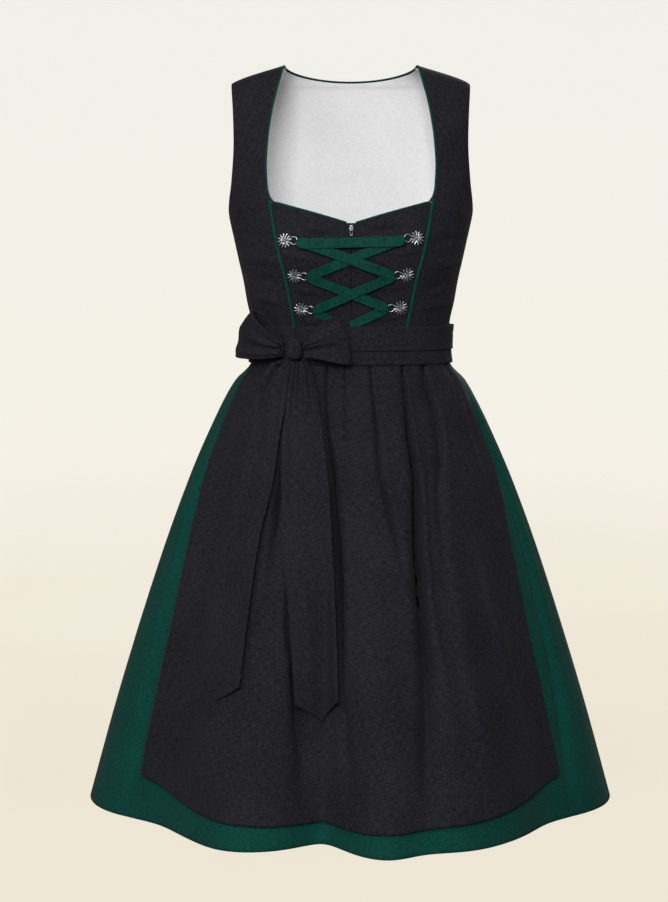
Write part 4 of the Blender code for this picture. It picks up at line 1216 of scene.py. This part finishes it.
def lace_strip(name, start, end, level, tucked=None):
    """A stretch of ribbon between two places on the front, some levels above the lowest.

    It narrows where it goes through a loop. tucked is the end, 0 or 1, that goes under the
    tie instead, and lies lower there.
    """
    (x0, z0), (x1, z1) = (start, end) if start[0] < end[0] else (end, start)
    length = math.hypot(x1 - x0, z1 - z0)
    share = np.linspace(0, 1, 72)[None, :]
    width = np.linspace(-0.5, 0.5, 14)[:, None] * LACE_W
    from_end = np.minimum(share, 1 - share) * length
    sunk = 0.0
    if tucked is not None:
        from_end = np.abs(share - (1 - tucked)) * length
        sunk = -0.0007 * (1 - ramp(np.abs(share - tucked) * length, 0.006, 0.020))
    pinch = 1 - 0.55 * (1 - ramp(from_end, -0.002, 0.009))
    x = x0 + (x1 - x0) * share - (z1 - z0) / length * width * pinch
    z = z0 + (z1 - z0) * share + (x1 - x0) / length * width * pinch
    edge = 0.00018 * bell((np.abs(width) - LACE_W / 2) / 0.0008)
    ripple = 0.00022 * waver(share * 9 + width * 90, level + x0 * 90, 2)
    out = LACE_OUT + level * LACE_STEP + edge + np.clip(ripple, -0.0002, 0.0002) + sunk
    patch(name, turn_at(x, z), z, out, ribbon_green, "green_ribbon", RIBBON)


def lacing():
    """The ribbon's stretches between the loops, and its two ends that go under the tie."""

    def loop_of(name, drop=0.0):
        x, z = HOOKS["hook_" + name]
        return x - math.copysign(LOOP_REACH - LOOP_WIRE_D, x), z - drop

    strips = (  # name, start, end, levels above the lowest
        ("lace_top", loop_of("right_top", LACE_TOP_DROP), loop_of("left_top", LACE_TOP_DROP), 2),
        ("lace_upper_under", loop_of("right_middle"), loop_of("left_top"), 0),
        ("lace_upper_over", loop_of("right_top"), loop_of("left_middle"), 1),
        ("lace_lower_under", loop_of("right_middle"), loop_of("left_bottom"), 1),
        ("lace_lower_over", loop_of("right_bottom"), loop_of("left_middle"), 2),
        ("lace_end_right", loop_of("right_bottom"), LACE_ENDS[0], 0, 1),
        ("lace_end_left", LACE_ENDS[1], loop_of("left_bottom"), 0, 0),
    )
    for strip in strips:
        lace_strip(*strip)


# --- stitches --------------------------------------------------------------------------


def stitches(name, turn, z, out, finish, slot):
    """A row of stitches: short dashes of thread that stand half out of the cloth."""
    row = layer(*np.broadcast_arrays(turn, z, out))
    run = np.append(0, np.cumsum(np.linalg.norm(np.diff(row, axis=0), axis=1)))
    dashes, lengths_along = [], []
    for start in np.arange(STITCH, run[-1] - STITCH, STITCH):
        at = start + STITCH * np.array([0.0, 0.3, 0.6])
        path = np.stack([np.interp(at, run, row[:, axis]) for axis in range(3)], axis=1)
        dashes.append(tube(path, np.array([0.4, 1.0, 0.4]) * STITCH_R, 5))
        lengths_along.append(np.repeat(at, 5))
    obj = new_piece(name, *together(dashes), finish, slot=slot)
    along = np.concatenate(lengths_along)
    threads_of(obj, along, np.tile(np.arange(5) * STITCH_R, len(along) // 5))


def hem_stitches():
    """Stitching along the apron's hem and the skirt's."""
    side = np.linspace(-1, 1, 700)
    z = APRON_HEM_Z + APRON_CORNER_RISE * np.abs(side) ** 2.5 + APRON_HEM_UP
    turn = follow(APRON_EDGE, z) * side * 0.985
    stitches("apron_hem_stitches", turn, z, apron_out(turn, z) + CLOTH, black, "black_weave")
    turn = np.linspace(-180, 180, 1600)
    z = np.full(turn.shape, HEM_Z + SKIRT_HEM_UP)
    out = CLOTH + hangs(turn, z, SKIRT_HANGS)
    stitches("skirt_hem_stitches", turn, z, out, green, "green_cotton")


# --- the dress -------------------------------------------------------------------------

front_panels()
side_fronts()
back_panel()
skirt()
apron()
bands()
bow_loop("bow_loop_right", RIGHT_LOOP, RIGHT_LOOP_TURNS, 1)
bow_loop("bow_loop_left", LEFT_LOOP, LEFT_LOOP_TURNS, 6)
knot()
tail("tie_tail_right", RIGHT_TAIL, RIGHT_TAIL_END, 0)
tail("tie_tail_left", LEFT_TAIL, LEFT_TAIL_END, 1)
pipings()
zip_parts()
for hook_name, (hook_x, hook_z) in HOOKS.items():
    hook(hook_name, hook_x, hook_z)
lacing()
hem_stitches()

# --- room, light and camera ------------------------------------------------------------

FLOOR_Z = -1.40
FLOOR_R, ROOM_R, ROOM_H = 5.0, 9.0, 6.0


def room():
    """A pale floor that curves up into a wall all round: a profile turned about the axis. It is not
    lit but glows, with painted shade that darkens it low down.
    """
    across_it = np.concatenate([np.linspace(0.02, FLOOR_R, 12), np.full(24, FLOOR_R)])
    height = np.zeros(len(across_it))
    bend = np.linspace(0, np.pi / 2, 25)[1:]
    across_it[12:] = FLOOR_R + (ROOM_R - FLOOR_R) * np.sin(bend)
    height[12:] = (ROOM_R - FLOOR_R) * (1 - np.cos(bend))
    across_it, height = np.append(across_it, ROOM_R), np.append(height, ROOM_H)
    angle = np.linspace(0, -2 * np.pi, 96, endpoint=False)
    verts = np.stack(
        [
            across_it[:, None] * np.cos(angle),
            across_it[:, None] * np.sin(angle),
            height[:, None] + FLOOR_Z + 0 * angle,
        ],
        axis=-1,
    )
    faces = grid_faces(len(across_it), 96, closed=True).tolist()
    faces.append(list(range(96)))
    # The backdrop's look is painted light: it glows by emission, and lamps add almost nothing to
    # its near-black base.
    constants = {"Specular_IOR_Level": 0.0, "Base_Color": paint("0a0a0a"), "Emission_Strength": 1.0}
    made, tree, shader = finish_of("backdrop_glow_painted_shade", Roughness=0.95, **constants)
    place = add(tree, "TexCoord").outputs["Object"]
    height = add(tree, "SeparateXYZ", {0: place}).outputs["Z"]
    level = add(tree, "Mapping", {"Vector": place, "Scale": (0.1, 0.1, 0.0)}).outputs[0]
    away = add(tree, "VectorMath", {0: level}, operation="LENGTH").outputs["Value"]
    cloud = add(tree, "TexNoise", {"Vector": place, "Scale": 0.5, "Detail": 2.0}).outputs[0]
    high = add(tree, "Math", {0: cloud, 1: 0.8, 2: height}, operation="MULTIPLY_ADD").outputs[0]
    far = add(tree, "Math", {0: high, 1: away}).outputs[0]
    share = add(tree, "MapRange", {0: far, 1: FLOOR_Z, 2: 2.6}).outputs[0]
    # Painted shade: the glow is darker and warmer towards the floor and near the middle, and
    # mottled by noise.
    tones = add(tree, "ValToRGB", {0: share})
    for at, code in ((0.12, "ede5d4"), (0.34, "f5f1e6"), (0.95, "f0f0e9")):
        tones.color_ramp.elements.new(at).color = paint(code)
    for end in (0, -1):
        tones.color_ramp.elements.remove(tones.color_ramp.elements[end])
    tree.links.new(tones.outputs[0], shader.inputs["Emission Color"])
    mesh = bpy.data.meshes.new("room_floor")
    mesh.from_pydata(verts.reshape(-1, 3).tolist(), [], faces)
    mesh.materials.append(made)
    mesh.shade_smooth()
    obj = bpy.data.objects.new("room_floor", mesh)
    bpy.context.scene.collection.objects.link(obj)
    obj.visible_diffuse = obj.visible_glossy = obj.visible_shadow = False


def lamp(name, place, aim, size, watts, colour):
    """A soft square light that the camera doesn't see."""
    data = bpy.data.lights.new(name, "AREA")
    data.shape = "SQUARE"
    data.size = size
    data.energy = watts
    data.color = paint(colour)[:3]
    obj = bpy.data.objects.new(name, data)
    obj.location = place
    toward = Vector(aim) - Vector(place)
    obj.rotation_euler = toward.to_track_quat("-Z", "Y").to_euler()
    obj.visible_camera = False
    bpy.context.scene.collection.objects.link(obj)


room()
lamp("key_light", (-2.4, -3.0, 1.4), (0, 0, -0.5), 2.4, 42, "ffffff")
lamp("front_light", (-0.4, -4.0, 0.9), (0, 0, -0.3), 1.1, 100, "ffffff")
lamp("fill_light", (1.7, -3.4, 0.4), (0, 0, -0.5), 1.8, 8, "ffffff")
lamp("top_light", (0.3, -2.2, 2.2), (0, 0, -0.4), 2.2, 12, "ffffff")
lamp("back_light", (1.2, 3.2, 1.4), (0, 0, -0.5), 2.0, 60, "ffffff")

world = bpy.data.worlds.new("studio_air")
bpy.context.scene.world = world
world.use_nodes = True
world.node_tree.nodes["Background"].inputs["Color"].default_value = paint("f4f1ea")
world.node_tree.nodes["Background"].inputs["Strength"].default_value = 0.20
bpy.context.scene.view_settings.view_transform = "Standard"

camera = bpy.data.objects.new("camera", bpy.data.cameras.new("camera"))
camera.data.lens = 87.4
camera.data.sensor_width = 36.0
camera.location = (-0.0226, -3.0, -0.2375)
camera.rotation_euler = (math.radians(90 - 5.24), 0, 0)
bpy.context.scene.collection.objects.link(camera)
bpy.context.scene.camera = camera
